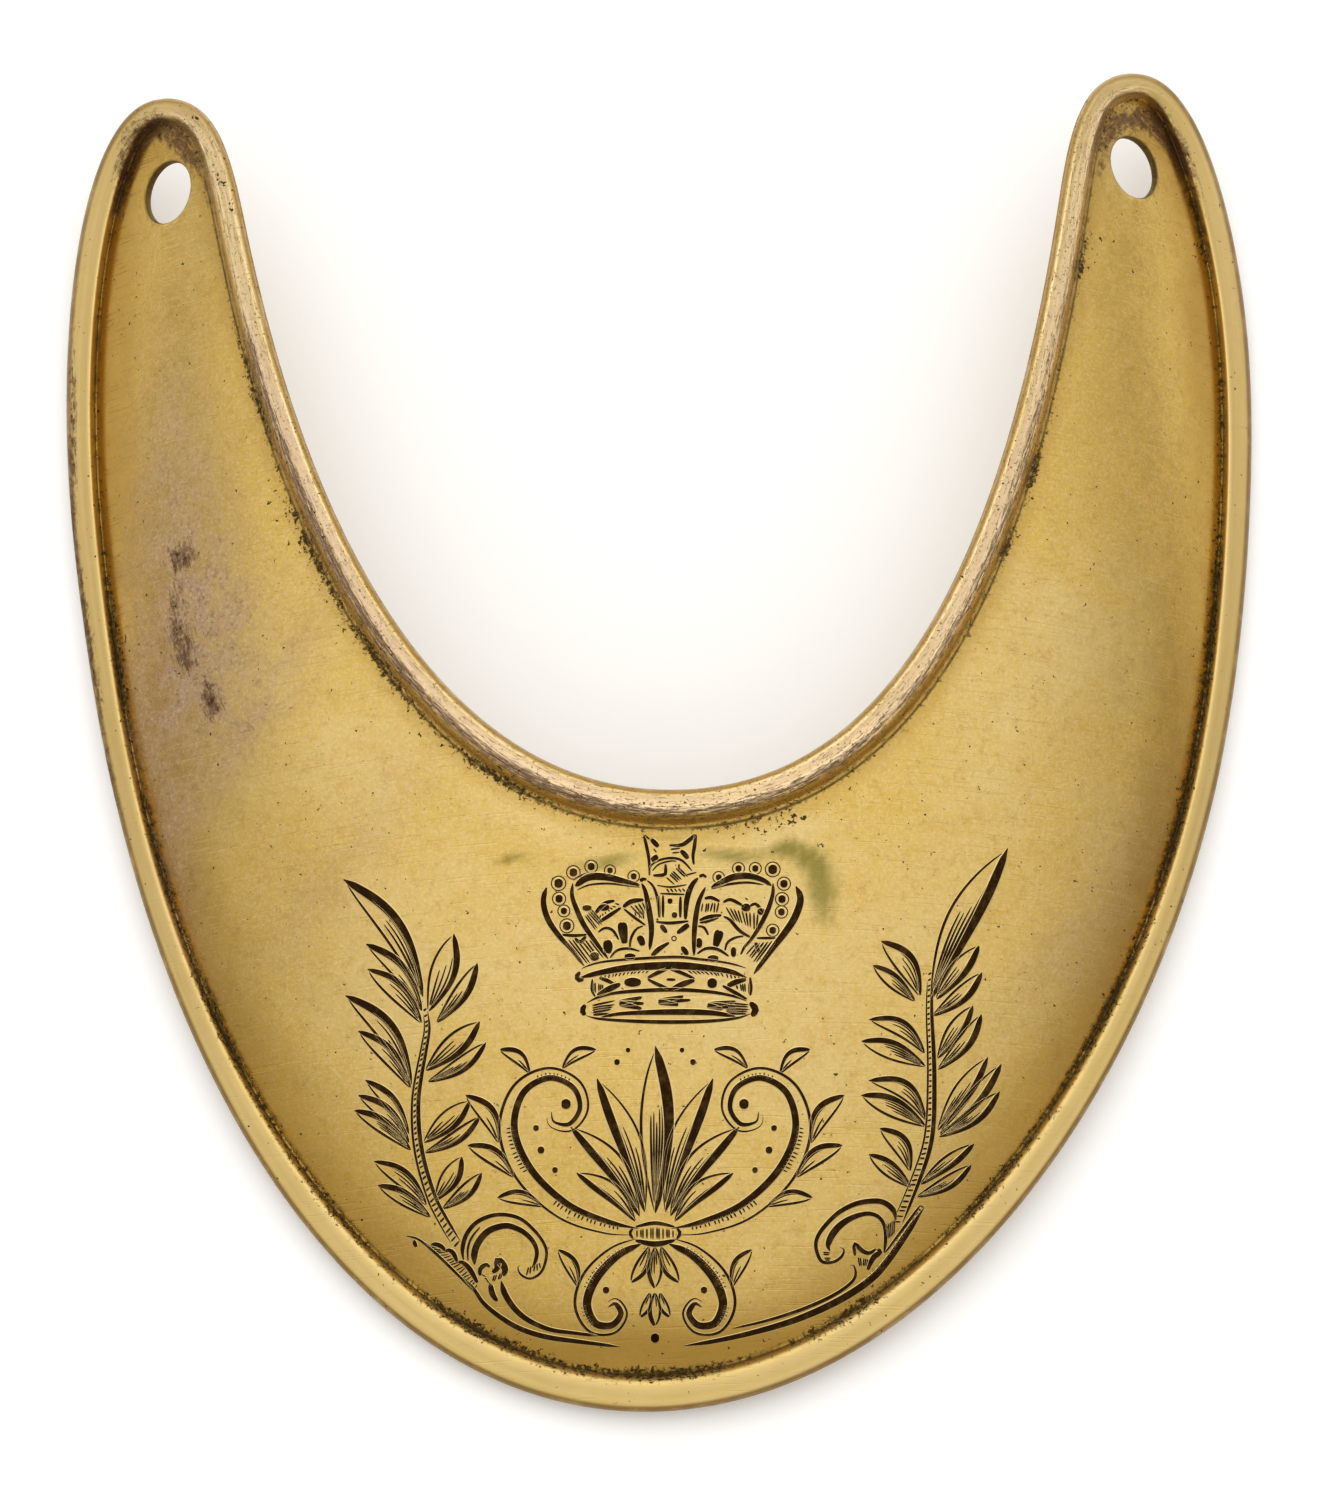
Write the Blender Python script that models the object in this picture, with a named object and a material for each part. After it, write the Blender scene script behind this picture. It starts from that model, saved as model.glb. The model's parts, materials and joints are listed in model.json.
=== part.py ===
# Gilt copper gorget, an officer's neck plate. It is one piece of sheet: a crescent plate bent round
# the neck, with a rolled rim all round it and a lace hole in the end of each horn.
# It lies on its back edges, front up, with the horns towards +Y. Metres, +Z up, and the origin is on
# the surface that it lies on, under the middle of its box.
# The plate is worked out in its own upright frame first: X across, Y up to the horns, and Z out to the
# front, with Y = 0 half way up and Z = 0 at the foremost place of the sheet.

import math

import bmesh
import bpy
import numpy as np
from mathutils import Matrix, Vector
from mathutils.geometry import interpolate_bezier

# Front outline
OVERALL_WIDTH = 0.1088
OVERALL_HEIGHT = 0.1204
THROAT_DROP = 0.0646  # from the horn tops down to the lowest point of the neck edge
NECK_WIDTH = 0.0742  # between the two horns, where their round ends begin
WIDEST_DROP = 0.0304  # from the horn tops down to the widest place
SHOULDER_DROP = 0.0122  # from the horn tops down to where the round end meets the neck edge
KEEL_DRIFT = 0.0026  # the hammered lower edge hangs this far to one side of the middle
THROAT_DRIFT = 0.0011  # and the neck edge's lowest place this far to the other
HORN_TOP_SHARE = 0.47  # place of a horn's top between its neck edge and the widest place

# Form of the sheet
SHEET_THICKNESS = 0.00085
UPPER_BEND_DEPTH = 0.0315  # how far the widest place falls back, by the bend at the horn tops
LOWER_BEND_DEPTH = 0.0235  # the same, by the flatter bend at the bottom
BOW_RADIUS = 0.220  # of the gentle curve from top to bottom
CREST_DROP = 0.0745  # from the horn tops down to the foremost place of the sheet

# Rolled rim
RIM_WIDTH = 0.0033
RIM_HEIGHT = 0.0019
RIM_LEAN = 0.5  # 0 stands square to the sheet, 1 straight to the front
RIM_CHANGE_LENGTH = 0.014  # of edge at a horn's top, where the outer section turns into the neck's

# Lace holes
HOLE_DIAMETER = 0.0058
HOLE_DROP = 0.0087  # from the horn tops down to the middle of a hole
HOLE_SHARE = 0.44  # its place from the neck rim's foot to the outer rim's
SEAT_DIAMETER = 0.0078  # flat round each hole, where the button of the lace bears
SEAT_RELIEF = 0.00003  # how far the flat is sunk below the lowest place of the bent sheet
CUTTER_REACH = 0.004  # of the cutting tools past the sheet

# Fineness of the mesh
STATIONS = 36  # along each quarter of the edge
DIVISIONS = 6  # across the plate between the rims
END_SPACING_SHARE = 0.31  # of the mean spacing of the stations, at a horn's top
HOLE_SIDES = 32
PATH_SAMPLES = 240
SMOOTH_ANGLE = math.radians(35)

# Handles of the outline's curves
QUARTER_HANDLE = 0.5523  # of a quarter of an ellipse
FULLER_HANDLE = 0.60  # the same where the edge turns over a horn's top
NECK_LEAN = 0.19  # the neck edge runs inwards this far for each unit that it drops, at the shoulder
SHOULDER_HANDLE = 0.52  # of the height from the throat to the shoulder
THROAT_HANDLE = 0.565  # of half the neck's width
KEEL_GROWTH = 1.5  # power by which the drift of the lower edge grows downwards
THROAT_GROWTH = 2.4  # the same for the neck edge

# Sections of the rolled rim. Across is a share of the rim's width from the edge inwards, and rise is
# a share of its height above the front of the sheet.
OUTER_RIM = (
    # across, rise
    (0.00, 0.34),
    (0.01, 0.68),
    (0.07, 0.90),
    (0.18, 1.00),
    (0.33, 0.97),
    (0.48, 0.76),
    (0.62, 0.47),
    (0.78, 0.20),
    (0.93, 0.04),
    (1.00, 0.00),
)
NECK_RIM = (
    # across, rise
    (0.00, 0.26),
    (0.01, 0.58),
    (0.08, 0.82),
    (0.22, 0.98),
    (0.42, 1.02),
    (0.60, 0.90),
    (0.73, 0.62),
    (0.85, 0.27),
    (0.95, 0.05),
    (1.00, 0.00),
)
# The hollow back of the rim, from the plate out to the edge. Sheet is the share of the sheet's
# thickness that is taken from the height.
RIM_BACK = (
    # across, rise, sheet
    (1.00, 0.00, 1.00),
    (0.86, 0.06, 1.00),
    (0.70, 0.22, 0.95),
    (0.54, 0.42, 0.90),
    (0.38, 0.52, 0.85),
    (0.22, 0.46, 0.90),
    (0.08, 0.36, 0.95),
    (0.00, 0.34, 0.45),
)

GILT = {"Base Color": (0.78, 0.57, 0.20, 1.0), "Metallic": 1.0, "Roughness": 0.28}

TOP_Y = OVERALL_HEIGHT / 2
BOTTOM_Y = -OVERALL_HEIGHT / 2
THROAT_Y = TOP_Y - THROAT_DROP
SHOULDER_Y = TOP_Y - SHOULDER_DROP
CREST_Y = TOP_Y - CREST_DROP


def clear_scene():
    for obj in list(bpy.data.objects):
        bpy.data.objects.remove(obj, do_unlink=True)


def gilt_material():
    material = bpy.data.materials.new("gilt_copper")
    material.use_nodes = True
    shader = material.node_tree.nodes["Principled BSDF"]
    for name, value in GILT.items():
        shader.inputs[name].default_value = value
    return material


def unit(vectors):
    return vectors / np.linalg.norm(vectors, axis=-1, keepdims=True)


def smoothstep(value):
    value = np.clip(value, 0.0, 1.0)
    return value * value * (3.0 - 2.0 * value)


# The sheet's surface


def depth(x, y):
    """How far the front of the sheet lies behind its foremost place: an arc across, whose radius
    grows from the horn tops down to the bottom, and a gentle bow from top to bottom."""
    half = OVERALL_WIDTH / 2
    upper = (half**2 + UPPER_BEND_DEPTH**2) / (2 * UPPER_BEND_DEPTH)
    lower = (half**2 + LOWER_BEND_DEPTH**2) / (2 * LOWER_BEND_DEPTH)
    share = np.clip((y - BOTTOM_Y) / OVERALL_HEIGHT, 0.0, 1.0)
    radius = lower + (upper - lower) * share
    across = np.minimum(np.abs(x), 0.98 * radius)
    return radius - np.sqrt(radius**2 - across**2) + (y - CREST_Y) ** 2 / (2 * BOW_RADIUS)


def slopes(x, y, step=1e-5):
    right = (depth(x + step, y) - depth(x - step, y)) / (2 * step)
    up = (depth(x, y + step) - depth(x, y - step)) / (2 * step)
    return right, up


def front_point(plan):
    return np.column_stack([plan, -depth(plan[:, 0], plan[:, 1])])


def front_normal(plan):
    right, up = slopes(plan[:, 0], plan[:, 1])
    return unit(np.column_stack([right, up, np.ones(len(plan))]))


# The edge


def curve_points(*four_points):
    points = interpolate_bezier(*(Vector((*point, 0.0)) for point in four_points), PATH_SAMPLES)
    return np.array([point[:2] for point in points])


def half_outline():
    """The outer edge from the bottom up to the right horn's top, and the neck edge from there down."""
    top = np.array([NECK_WIDTH / 2 + HORN_TOP_SHARE * (OVERALL_WIDTH - NECK_WIDTH) / 2, TOP_Y])
    widest = np.array([OVERALL_WIDTH / 2, TOP_Y - WIDEST_DROP])
    bottom = np.array([0.0, BOTTOM_Y])
    shoulder = np.array([NECK_WIDTH / 2, SHOULDER_Y])
    throat = np.array([0.0, THROAT_Y])
    out, up = np.array([1.0, 0.0]), np.array([0.0, 1.0])
    down_neck = unit(np.array([-NECK_LEAN, -1.0]))

    belly_out = QUARTER_HANDLE * widest[0] * out
    belly_up = QUARTER_HANDLE * (widest[1] - bottom[1]) * up
    side_up = QUARTER_HANDLE * WIDEST_DROP * up
    side_out = FULLER_HANDLE * (widest[0] - top[0]) * out
    end_out = FULLER_HANDLE * (top[0] - shoulder[0]) * out
    end_down = QUARTER_HANDLE * SHOULDER_DROP * down_neck
    neck_down = SHOULDER_HANDLE * (shoulder[1] - throat[1]) * down_neck
    neck_out = THROAT_HANDLE * shoulder[0] * out

    belly = curve_points(bottom, bottom + belly_out, widest - belly_up, widest)
    side = curve_points(widest, widest + side_up, top + side_out, top)
    end = curve_points(top, top - end_out, shoulder - end_down, shoulder)
    neck = curve_points(shoulder, shoulder + neck_down, throat + neck_out, throat)
    return np.vstack([belly, side[1:]]), np.vstack([end, neck[1:]])


def spaced(path, shares):
    """Points at these shares of a path's length, the path's directions there, and the lengths."""
    length = np.concatenate([[0.0], np.cumsum(np.linalg.norm(np.diff(path, axis=0), axis=1))])
    ahead = np.gradient(path, length, axis=0)
    at = shares * length[-1]
    points = np.column_stack([np.interp(at, length, path[:, k]) for k in (0, 1)])
    directions = np.column_stack([np.interp(at, length, ahead[:, k]) for k in (0, 1)])
    return points, unit(directions), at


def edge_stations():
    """Points round the whole edge, counterclockwise from the bottom as seen from the front, the
    inward direction at each, and how far each has the neck's section: 0 outer, 1 neck."""
    outer, neck = half_outline()
    even = np.arange(STATIONS + 1) / STATIONS
    bias = (1.0 - END_SPACING_SHARE) / 2
    closer = (1.0 + bias) * even - bias * even**3
    outer_points, outer_ahead, outer_at = spaced(outer, closer)
    neck_points, neck_ahead, neck_at = spaced(neck, 1.0 - closer[::-1])
    outer_ahead[0] = (1.0, 0.0)
    outer_ahead[-1] = (-1.0, 0.0)
    neck_ahead[-1] = (-1.0, 0.0)

    along = np.concatenate([outer_at - outer_at[-1], neck_at[1:]])
    share = smoothstep(along / RIM_CHANGE_LENGTH + 0.5)
    points = np.vstack([outer_points, neck_points[1:]])
    ahead = np.vstack([outer_ahead, neck_ahead[1:]])
    mirrored = slice(-2, 0, -1)
    points = np.vstack([points, points[mirrored] * (-1.0, 1.0)])
    ahead = np.vstack([ahead, ahead[mirrored] * (1.0, -1.0)])
    share = np.concatenate([share, share[mirrored]])

    y = points[:, 1]
    keel = -KEEL_DRIFT * np.clip((THROAT_Y - y) / (THROAT_Y - BOTTOM_Y), 0.0, 1.0) ** KEEL_GROWTH
    neck = THROAT_DRIFT * np.clip((SHOULDER_Y - y) / (SHOULDER_Y - THROAT_Y), 0.0, 1.0) ** THROAT_GROWTH
    station = np.arange(len(points))
    points[:, 0] += np.where((station > STATIONS) & (station < 3 * STATIONS), neck, keel)
    return points, np.column_stack([-ahead[:, 1], ahead[:, 0]]), share


# The rim and the plate


def rim_sections(points, inward, share):
    """The rim's points, as stations by section points by 3, and the same for its back. The section
    is moved inwards so that its outermost place lies on the outline."""
    blend = share[:, None, None]
    rows = (1.0 - blend) * np.array(OUTER_RIM) + blend * np.array(NECK_RIM)
    back_rows = np.broadcast_to(np.array(RIM_BACK), (len(points), len(RIM_BACK), 3))
    base = points.copy()
    for _ in range(3):
        normal = front_normal(base)
        steepness = np.sum(inward * -normal[:, :2], axis=1) / normal[:, 2]
        reach = RIM_WIDTH / np.sqrt(1.0 + steepness**2)
        rise_way = unit((1.0 - RIM_LEAN) * normal + RIM_LEAN * np.array([0.0, 0.0, 1.0]))
        lean_in = np.sum(rise_way[:, :2] * inward, axis=1)
        offset = rows[..., 0] * reach[:, None] + rows[..., 1] * RIM_HEIGHT * lean_in[:, None]
        base = points - offset.min(axis=1)[:, None] * inward

    def placed(across, height, sheet):
        plan = base[:, None, :] + (across * reach[:, None])[..., None] * inward[:, None, :]
        flat = plan.reshape(-1, 2)
        surface = front_point(flat).reshape(*plan.shape[:2], 3)
        square = front_normal(flat).reshape(surface.shape)
        raised = surface + (height * RIM_HEIGHT)[..., None] * rise_way[:, None, :]
        return raised - (sheet * SHEET_THICKNESS)[..., None] * square

    front = placed(rows[..., 0], rows[..., 1], np.zeros(rows.shape[:2]))
    back = placed(back_rows[..., 0], back_rows[..., 1], back_rows[..., 2])
    return front, back


def plate_rows(edge, opposite):
    """Plan points between the rims, from the outer rim's foot to the neck rim's, for each pair."""
    share = (np.arange(1, DIVISIONS) / DIVISIONS)[None, :, None]
    return edge[:, None, :] + (opposite - edge)[:, None, :] * share


def gorget_mesh():
    """The closed mesh in the upright frame, as vertices and faces. The rim is a band of quads round
    the edge, and the plate lies between its outer half and its neck half, front and back."""
    points, inward, share = edge_stations()
    front, back = rim_sections(points, inward, share)
    band = np.concatenate([front, back], axis=1)
    stations, across = band.shape[:2]
    vertices = [band.reshape(-1, 3)]
    foot, back_foot = front.shape[1] - 1, front.shape[1]

    def rim_vertex(station, place):
        return (station % stations) * across + place

    faces = []
    for i in range(stations):
        for j in range(across):
            if j == foot:
                continue
            after = (j + 1) % across
            faces.append(
                (rim_vertex(i, j), rim_vertex(i + 1, j), rim_vertex(i + 1, after), rim_vertex(i, after))
            )

    rulings = np.arange(1 - STATIONS, STATIONS)
    plan = plate_rows(front[rulings % stations, foot, :2], front[2 * STATIONS - rulings, foot, :2])
    flat = plan.reshape(-1, 2)
    surface = front_point(flat)
    sides = ((foot, surface), (back_foot, surface - SHEET_THICKNESS * front_normal(flat)))
    start = len(vertices[0])
    for place, side in sides:
        vertices.append(side)
        inner = start + np.arange(len(flat)).reshape(len(rulings), DIVISIONS - 1)
        outer_feet = np.array([rim_vertex(r, place) for r in rulings])
        neck_feet = np.array([rim_vertex(2 * STATIONS - r, place) for r in rulings])
        grid = np.column_stack([outer_feet, inner, neck_feet])
        for a, b in zip(grid[:-1], grid[1:]):
            faces += [(a[k], b[k], b[k + 1], a[k + 1]) for k in range(DIVISIONS)]
        for tip, row in ((rim_vertex(STATIONS, place), grid[-1]), (rim_vertex(-STATIONS, place), grid[0])):
            faces += [(row[k], tip, row[k + 1]) for k in range(DIVISIONS)]
        start += len(flat)
    return np.vstack(vertices), [tuple(int(v) for v in face) for face in faces]


# Lying at rest


def mass_centre(mesh):
    """Centre of the volume inside a closed mesh, from the pyramids that its triangles make with the origin."""
    mesh.calc_loop_triangles()
    triangles = np.array([[mesh.vertices[v].co for v in t.vertices] for t in mesh.loop_triangles])
    volumes = np.einsum("ij,ij->i", triangles[:, 0], np.cross(triangles[:, 1], triangles[:, 2]))
    return (triangles.sum(axis=1) / 4 * volumes[:, None]).sum(axis=0) / volumes.sum()


def resting_pitch(vertices, centre):
    """The turn about X that brings the gorget down on the edge of its lower side outline which has
    the mass centre over it, as it settles when it is laid on its back."""
    side = vertices[np.argsort(vertices[:, 1])][:, 1:]
    hull = []
    for point in side:
        while len(hull) > 1:
            run, rise = hull[-1] - hull[-2], point - hull[-2]
            if run[0] * rise[1] - run[1] * rise[0] > 0:
                break
            hull.pop()
        hull.append(point)
    for low, high in zip(hull[:-1], hull[1:]):
        edge = high - low
        if (centre[1:] - low) @ edge > edge @ edge:
            continue
        return -math.atan2(edge[1], edge[0])
    return 0.0


# Objects


def plate_object(material):
    vertices, faces = gorget_mesh()
    mesh = bpy.data.meshes.new("gorget_plate")
    mesh.from_pydata(vertices.tolist(), [], faces)
    mesh.validate()
    edit = bmesh.new()
    edit.from_mesh(mesh)
    bmesh.ops.recalc_face_normals(edit, faces=edit.faces)
    edit.to_mesh(mesh)
    edit.free()
    mesh.materials.append(material)
    mesh.shade_smooth()
    mesh.set_sharp_from_angle(angle=SMOOTH_ANGLE)
    plate = bpy.data.objects.new("gorget_plate", mesh)
    bpy.context.collection.objects.link(plate)
    return plate


def hole_places(plate_points):
    """Middle of each lace hole on the front of the sheet, between the feet of the rims."""
    y = TOP_Y - HOLE_DROP
    outer_feet, neck_feet = plate_points
    outer_x = np.interp(y, outer_feet[:, 1], outer_feet[:, 0])
    neck_x = np.interp(y, neck_feet[:, 1], neck_feet[:, 0])
    middle = neck_x + HOLE_SHARE * (outer_x - neck_x)
    return np.array([[-middle, y], [middle, y]])


def rim_feet():
    """Plan of the rim's foot up the right horn's outer side, and up its neck side."""
    points, inward, share = edge_stations()
    front, _ = rim_sections(points, inward, share)
    feet = front[:, -1, :2]
    return feet[STATIONS // 2 : STATIONS + 1], feet[2 * STATIONS : STATIONS - 1 : -1]


def cutter(name, diameter, low, high, place, normal):
    """A round bar from low to high along the normal at this place."""
    mesh = bpy.data.meshes.new(name)
    edit = bmesh.new()
    bmesh.ops.create_cone(
        edit,
        cap_ends=True,
        segments=HOLE_SIDES,
        radius1=diameter / 2,
        radius2=diameter / 2,
        depth=high - low,
        matrix=Matrix.Translation((0.0, 0.0, (low + high) / 2)),
    )
    edit.to_mesh(mesh)
    edit.free()
    bar = bpy.data.objects.new(name, mesh)
    bpy.context.collection.objects.link(bar)
    bar.location = place
    bar.rotation_mode = "QUATERNION"
    bar.rotation_quaternion = Vector(normal).to_track_quat("Z", "Y")
    bar.hide_render = True
    bar.display_type = "WIRE"
    return bar


def cut(plate, tool):
    boolean = plate.modifiers.new(tool.name, "BOOLEAN")
    boolean.operation = "DIFFERENCE"
    boolean.object = tool


def seat_sink(place, normal):
    """Depth along the normal, from the sheet at a hole's middle down to the lowest place of the bent
    sheet under the seat's edge."""
    across = unit(np.cross((0.0, 1.0, 0.0), normal))
    along = np.cross(normal, across)
    turn = np.linspace(0.0, 2 * math.pi, HOLE_SIDES, endpoint=False)[:, None]
    ring = place + SEAT_DIAMETER / 2 * (np.cos(turn) * across + np.sin(turn) * along)
    return float(-((front_point(ring[:, :2]) - place) @ normal).min()) + SEAT_RELIEF


def add_lace_holes(plate):
    tools = []
    plan = hole_places(rim_feet())
    for side, place, normal in zip(("left", "right"), front_point(plan), front_normal(plan)):
        sink = seat_sink(place, normal)
        tools.append(cutter(f"{side}_seat_tool", SEAT_DIAMETER, -sink, CUTTER_REACH, place, normal))
        tools.append(cutter(f"{side}_hole_tool", HOLE_DIAMETER, -CUTTER_REACH, CUTTER_REACH, place, normal))
    for tool in tools:
        cut(plate, tool)
    return tools


def lay_down(plate, tools):
    """Parents the plate and its tools to an empty that lays the gorget on the surface."""
    vertices = np.array([v.co for v in plate.data.vertices])
    pitch = resting_pitch(vertices, mass_centre(plate.data))
    turned = vertices @ np.array(Matrix.Rotation(pitch, 3, "X")).T
    low, high = turned.min(axis=0), turned.max(axis=0)
    lying = bpy.data.objects.new("lying", None)
    bpy.context.collection.objects.link(lying)
    lying.rotation_euler = (pitch, 0.0, 0.0)
    lying.location = (-(low[0] + high[0]) / 2, -(low[1] + high[1]) / 2, -low[2])
    for obj in (plate, *tools):
        obj.parent = lying


def main():
    clear_scene()
    plate = plate_object(gilt_material())
    tools = add_lace_holes(plate)
    lay_down(plate, tools)


main()
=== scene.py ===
import json
import math

import bmesh
import bpy
import numpy as np
from mathutils import Matrix, Vector

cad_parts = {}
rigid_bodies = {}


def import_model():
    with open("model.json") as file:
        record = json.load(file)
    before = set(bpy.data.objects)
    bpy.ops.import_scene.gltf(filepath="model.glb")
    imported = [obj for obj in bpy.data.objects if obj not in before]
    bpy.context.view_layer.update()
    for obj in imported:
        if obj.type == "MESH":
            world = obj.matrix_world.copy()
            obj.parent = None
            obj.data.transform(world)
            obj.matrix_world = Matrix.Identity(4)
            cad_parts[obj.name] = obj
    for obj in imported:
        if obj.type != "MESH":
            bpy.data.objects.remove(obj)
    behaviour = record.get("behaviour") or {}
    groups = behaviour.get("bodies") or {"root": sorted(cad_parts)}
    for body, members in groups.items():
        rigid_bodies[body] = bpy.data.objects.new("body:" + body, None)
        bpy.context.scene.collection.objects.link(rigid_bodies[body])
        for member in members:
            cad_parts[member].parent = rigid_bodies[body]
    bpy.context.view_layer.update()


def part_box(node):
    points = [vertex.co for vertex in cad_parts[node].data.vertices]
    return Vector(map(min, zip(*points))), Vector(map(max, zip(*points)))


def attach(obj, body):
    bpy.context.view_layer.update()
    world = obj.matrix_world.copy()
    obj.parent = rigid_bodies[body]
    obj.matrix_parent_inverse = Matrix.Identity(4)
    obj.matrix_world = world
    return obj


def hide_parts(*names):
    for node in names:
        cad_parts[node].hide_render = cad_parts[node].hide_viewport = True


# The looks of a gilt gorget: a plate of sheet bent round the neck, with a rolled rim, two lace holes
# and cut ornament. Shapes are worked out in millimetres in the plate's own upright frame, X across, Y
# up to the horns and Z to the front, and toWorld lays them down and turns them into metres.

for leftover in list(bpy.data.objects):
    bpy.data.objects.remove(leftover, do_unlink=True)
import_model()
plateLow, plateHigh = (np.array(corner) * 1000 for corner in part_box("gorget_plate"))
print("frame loaded, box in mm:", plateLow.round(2), plateHigh.round(2))

# Sheet

sheet = {
    "width": 108.8,
    "height": 120.4,
    "throatDrop": 64.6,  # from the horn tops to the lowest point of the neck edge
    "neckWidth": 74.2,
    "widestDrop": 30.4,
    "shoulderDrop": 12.2,
    "keelDrift": 2.6,  # the lower edge hangs this far to the left
    "throatDrift": 1.1,  # and the neck edge's lowest place this far to the right
    "hornTopShare": 0.44,
    "thickness": 0.85,
    "upperBend": 31.5,  # how far the widest place falls back, by the bend at the horn tops
    "lowerBend": 23.5,
    "bowRadius": 220.0,
    "crestDrop": 74.5,
    "pitch": math.radians(16.7895),  # lays the upright plate on its back edges
}
hammering = {
    # rise in mm, waves across and up in mm, turn: slow unevenness that the planishing left
    "waves": ((0.050, 31.0, 47.0, 0.4), (0.030, 17.0, 23.0, 2.1), (0.016, 11.0, 9.0, 4.4)),
}
halfWidth = sheet["width"] / 2
topY = sheet["height"] / 2
bottomY = -topY
throatY = topY - sheet["throatDrop"]
shoulderY = topY - sheet["shoulderDrop"]
crestY = topY - sheet["crestDrop"]


def unit(vectors):
    return vectors / np.linalg.norm(vectors, axis=-1, keepdims=True)


def smoothstep(value):
    value = np.clip(value, 0.0, 1.0)
    return value * value * (3.0 - 2.0 * value)


def trueDepth(x, y):
    # An arc across, whose radius grows evenly from the horn tops to the bottom, and a bow up and down:
    # depth = R - sqrt(R^2 - x^2) + (y - crest)^2 / (2 bow radius).
    upper = (halfWidth**2 + sheet["upperBend"] ** 2) / (2 * sheet["upperBend"])
    lower = (halfWidth**2 + sheet["lowerBend"] ** 2) / (2 * sheet["lowerBend"])
    share = np.clip((y - bottomY) / sheet["height"], 0.0, 1.0)
    radius = lower + (upper - lower) * share
    across = np.minimum(np.abs(x), 0.98 * radius)
    return radius - np.sqrt(radius**2 - across**2) + (y - crestY) ** 2 / (2 * sheet["bowRadius"])


def sheetDepth(x, y):
    # The true depth with a few slow waves: rise * sin(x / wave across + turn) * sin(y / wave up - turn).
    depth = trueDepth(x, y)
    for rise, across, up, turn in hammering["waves"]:
        depth = depth + rise * np.sin(x / across * 6.28 + turn) * np.sin(y / up * 6.28 - turn)
    return depth


def frontPoint(plan):
    return np.column_stack([plan, -sheetDepth(plan[:, 0], plan[:, 1])])


def frontNormal(plan, step=0.02):
    x, y = plan[:, 0], plan[:, 1]
    right = (sheetDepth(x + step, y) - sheetDepth(x - step, y)) / (2 * step)
    up = (sheetDepth(x, y + step) - sheetDepth(x, y - step)) / (2 * step)
    return unit(np.column_stack([right, up, np.ones(len(plan))]))


# Edge

edge = {
    "stations": 150,  # along each quarter of the edge
    "endSpacing": 0.31,  # of the mean spacing, at a horn's top
    "changeLength": 14.0,  # of edge at a horn's top, where the outer section turns into the neck's
    "easeStations": 16,  # over which the inward direction is evened out
    "roundness": 0.5523,  # handle lengths of the curves, as shares: this one gives a quarter circle
    "tipRoundness": 0.67,
    "neckWay": (-0.19, -1.0),  # in which the neck edge leaves the shoulder
    "neckHandles": (0.52, 0.585),  # at the shoulder and at the throat
    "keelPower": 1.5,
    "driftPower": 2.4,
    "sideDrift": 0.36,  # the left side is flatter and the right one fuller, by this
    "driftPlaces": (10.0, 35.0),  # at these heights, left and right
    "driftReach": 14.5,
}


def bezier(*points):
    t = np.linspace(0.0, 1.0, 400)[:, None]
    a, b, c, d = points
    return (1 - t) ** 3 * a + 3 * (1 - t) ** 2 * t * b + 3 * (1 - t) * t**2 * c + t**3 * d


def halfOutline():
    # The outer edge from the bottom to the right horn's top, and the neck edge from there to the throat.
    quarter, fuller = edge["roundness"], edge["tipRoundness"]
    shoulderHandle, throatHandle = edge["neckHandles"]
    neckHalf = sheet["neckWidth"] / 2
    top = np.array([neckHalf + sheet["hornTopShare"] * (halfWidth - neckHalf), topY])
    widest = np.array([halfWidth, topY - sheet["widestDrop"]])
    bottom = np.array([0.0, bottomY])
    shoulder = np.array([neckHalf, shoulderY])
    throat = np.array([0.0, throatY])
    out, up = np.array([1.0, 0.0]), np.array([0.0, 1.0])
    downNeck = unit(np.array(edge["neckWay"]))
    belly = bezier(
        bottom,
        bottom + quarter * widest[0] * out,
        widest - quarter * (widest[1] - bottomY) * up,
        widest,
    )
    side = bezier(
        widest,
        widest + quarter * sheet["widestDrop"] * up,
        top + fuller * (widest[0] - top[0]) * out,
        top,
    )
    end = bezier(
        top,
        top - fuller * (top[0] - neckHalf) * out,
        shoulder - quarter * sheet["shoulderDrop"] * downNeck,
        shoulder,
    )
    neck = bezier(
        shoulder,
        shoulder + shoulderHandle * (shoulder[1] - throatY) * downNeck,
        throat + throatHandle * neckHalf * out,
        throat,
    )
    return np.vstack([belly, side[1:]]), np.vstack([end, neck[1:]])


def spaced(path, shares):
    length = np.concatenate([[0.0], np.cumsum(np.linalg.norm(np.diff(path, axis=0), axis=1))])
    ahead = np.gradient(path, length, axis=0)
    at = shares * length[-1]
    points = np.column_stack([np.interp(at, length, path[:, k]) for k in (0, 1)])
    directions = np.column_stack([np.interp(at, length, ahead[:, k]) for k in (0, 1)])
    return points, unit(directions), at


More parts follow.
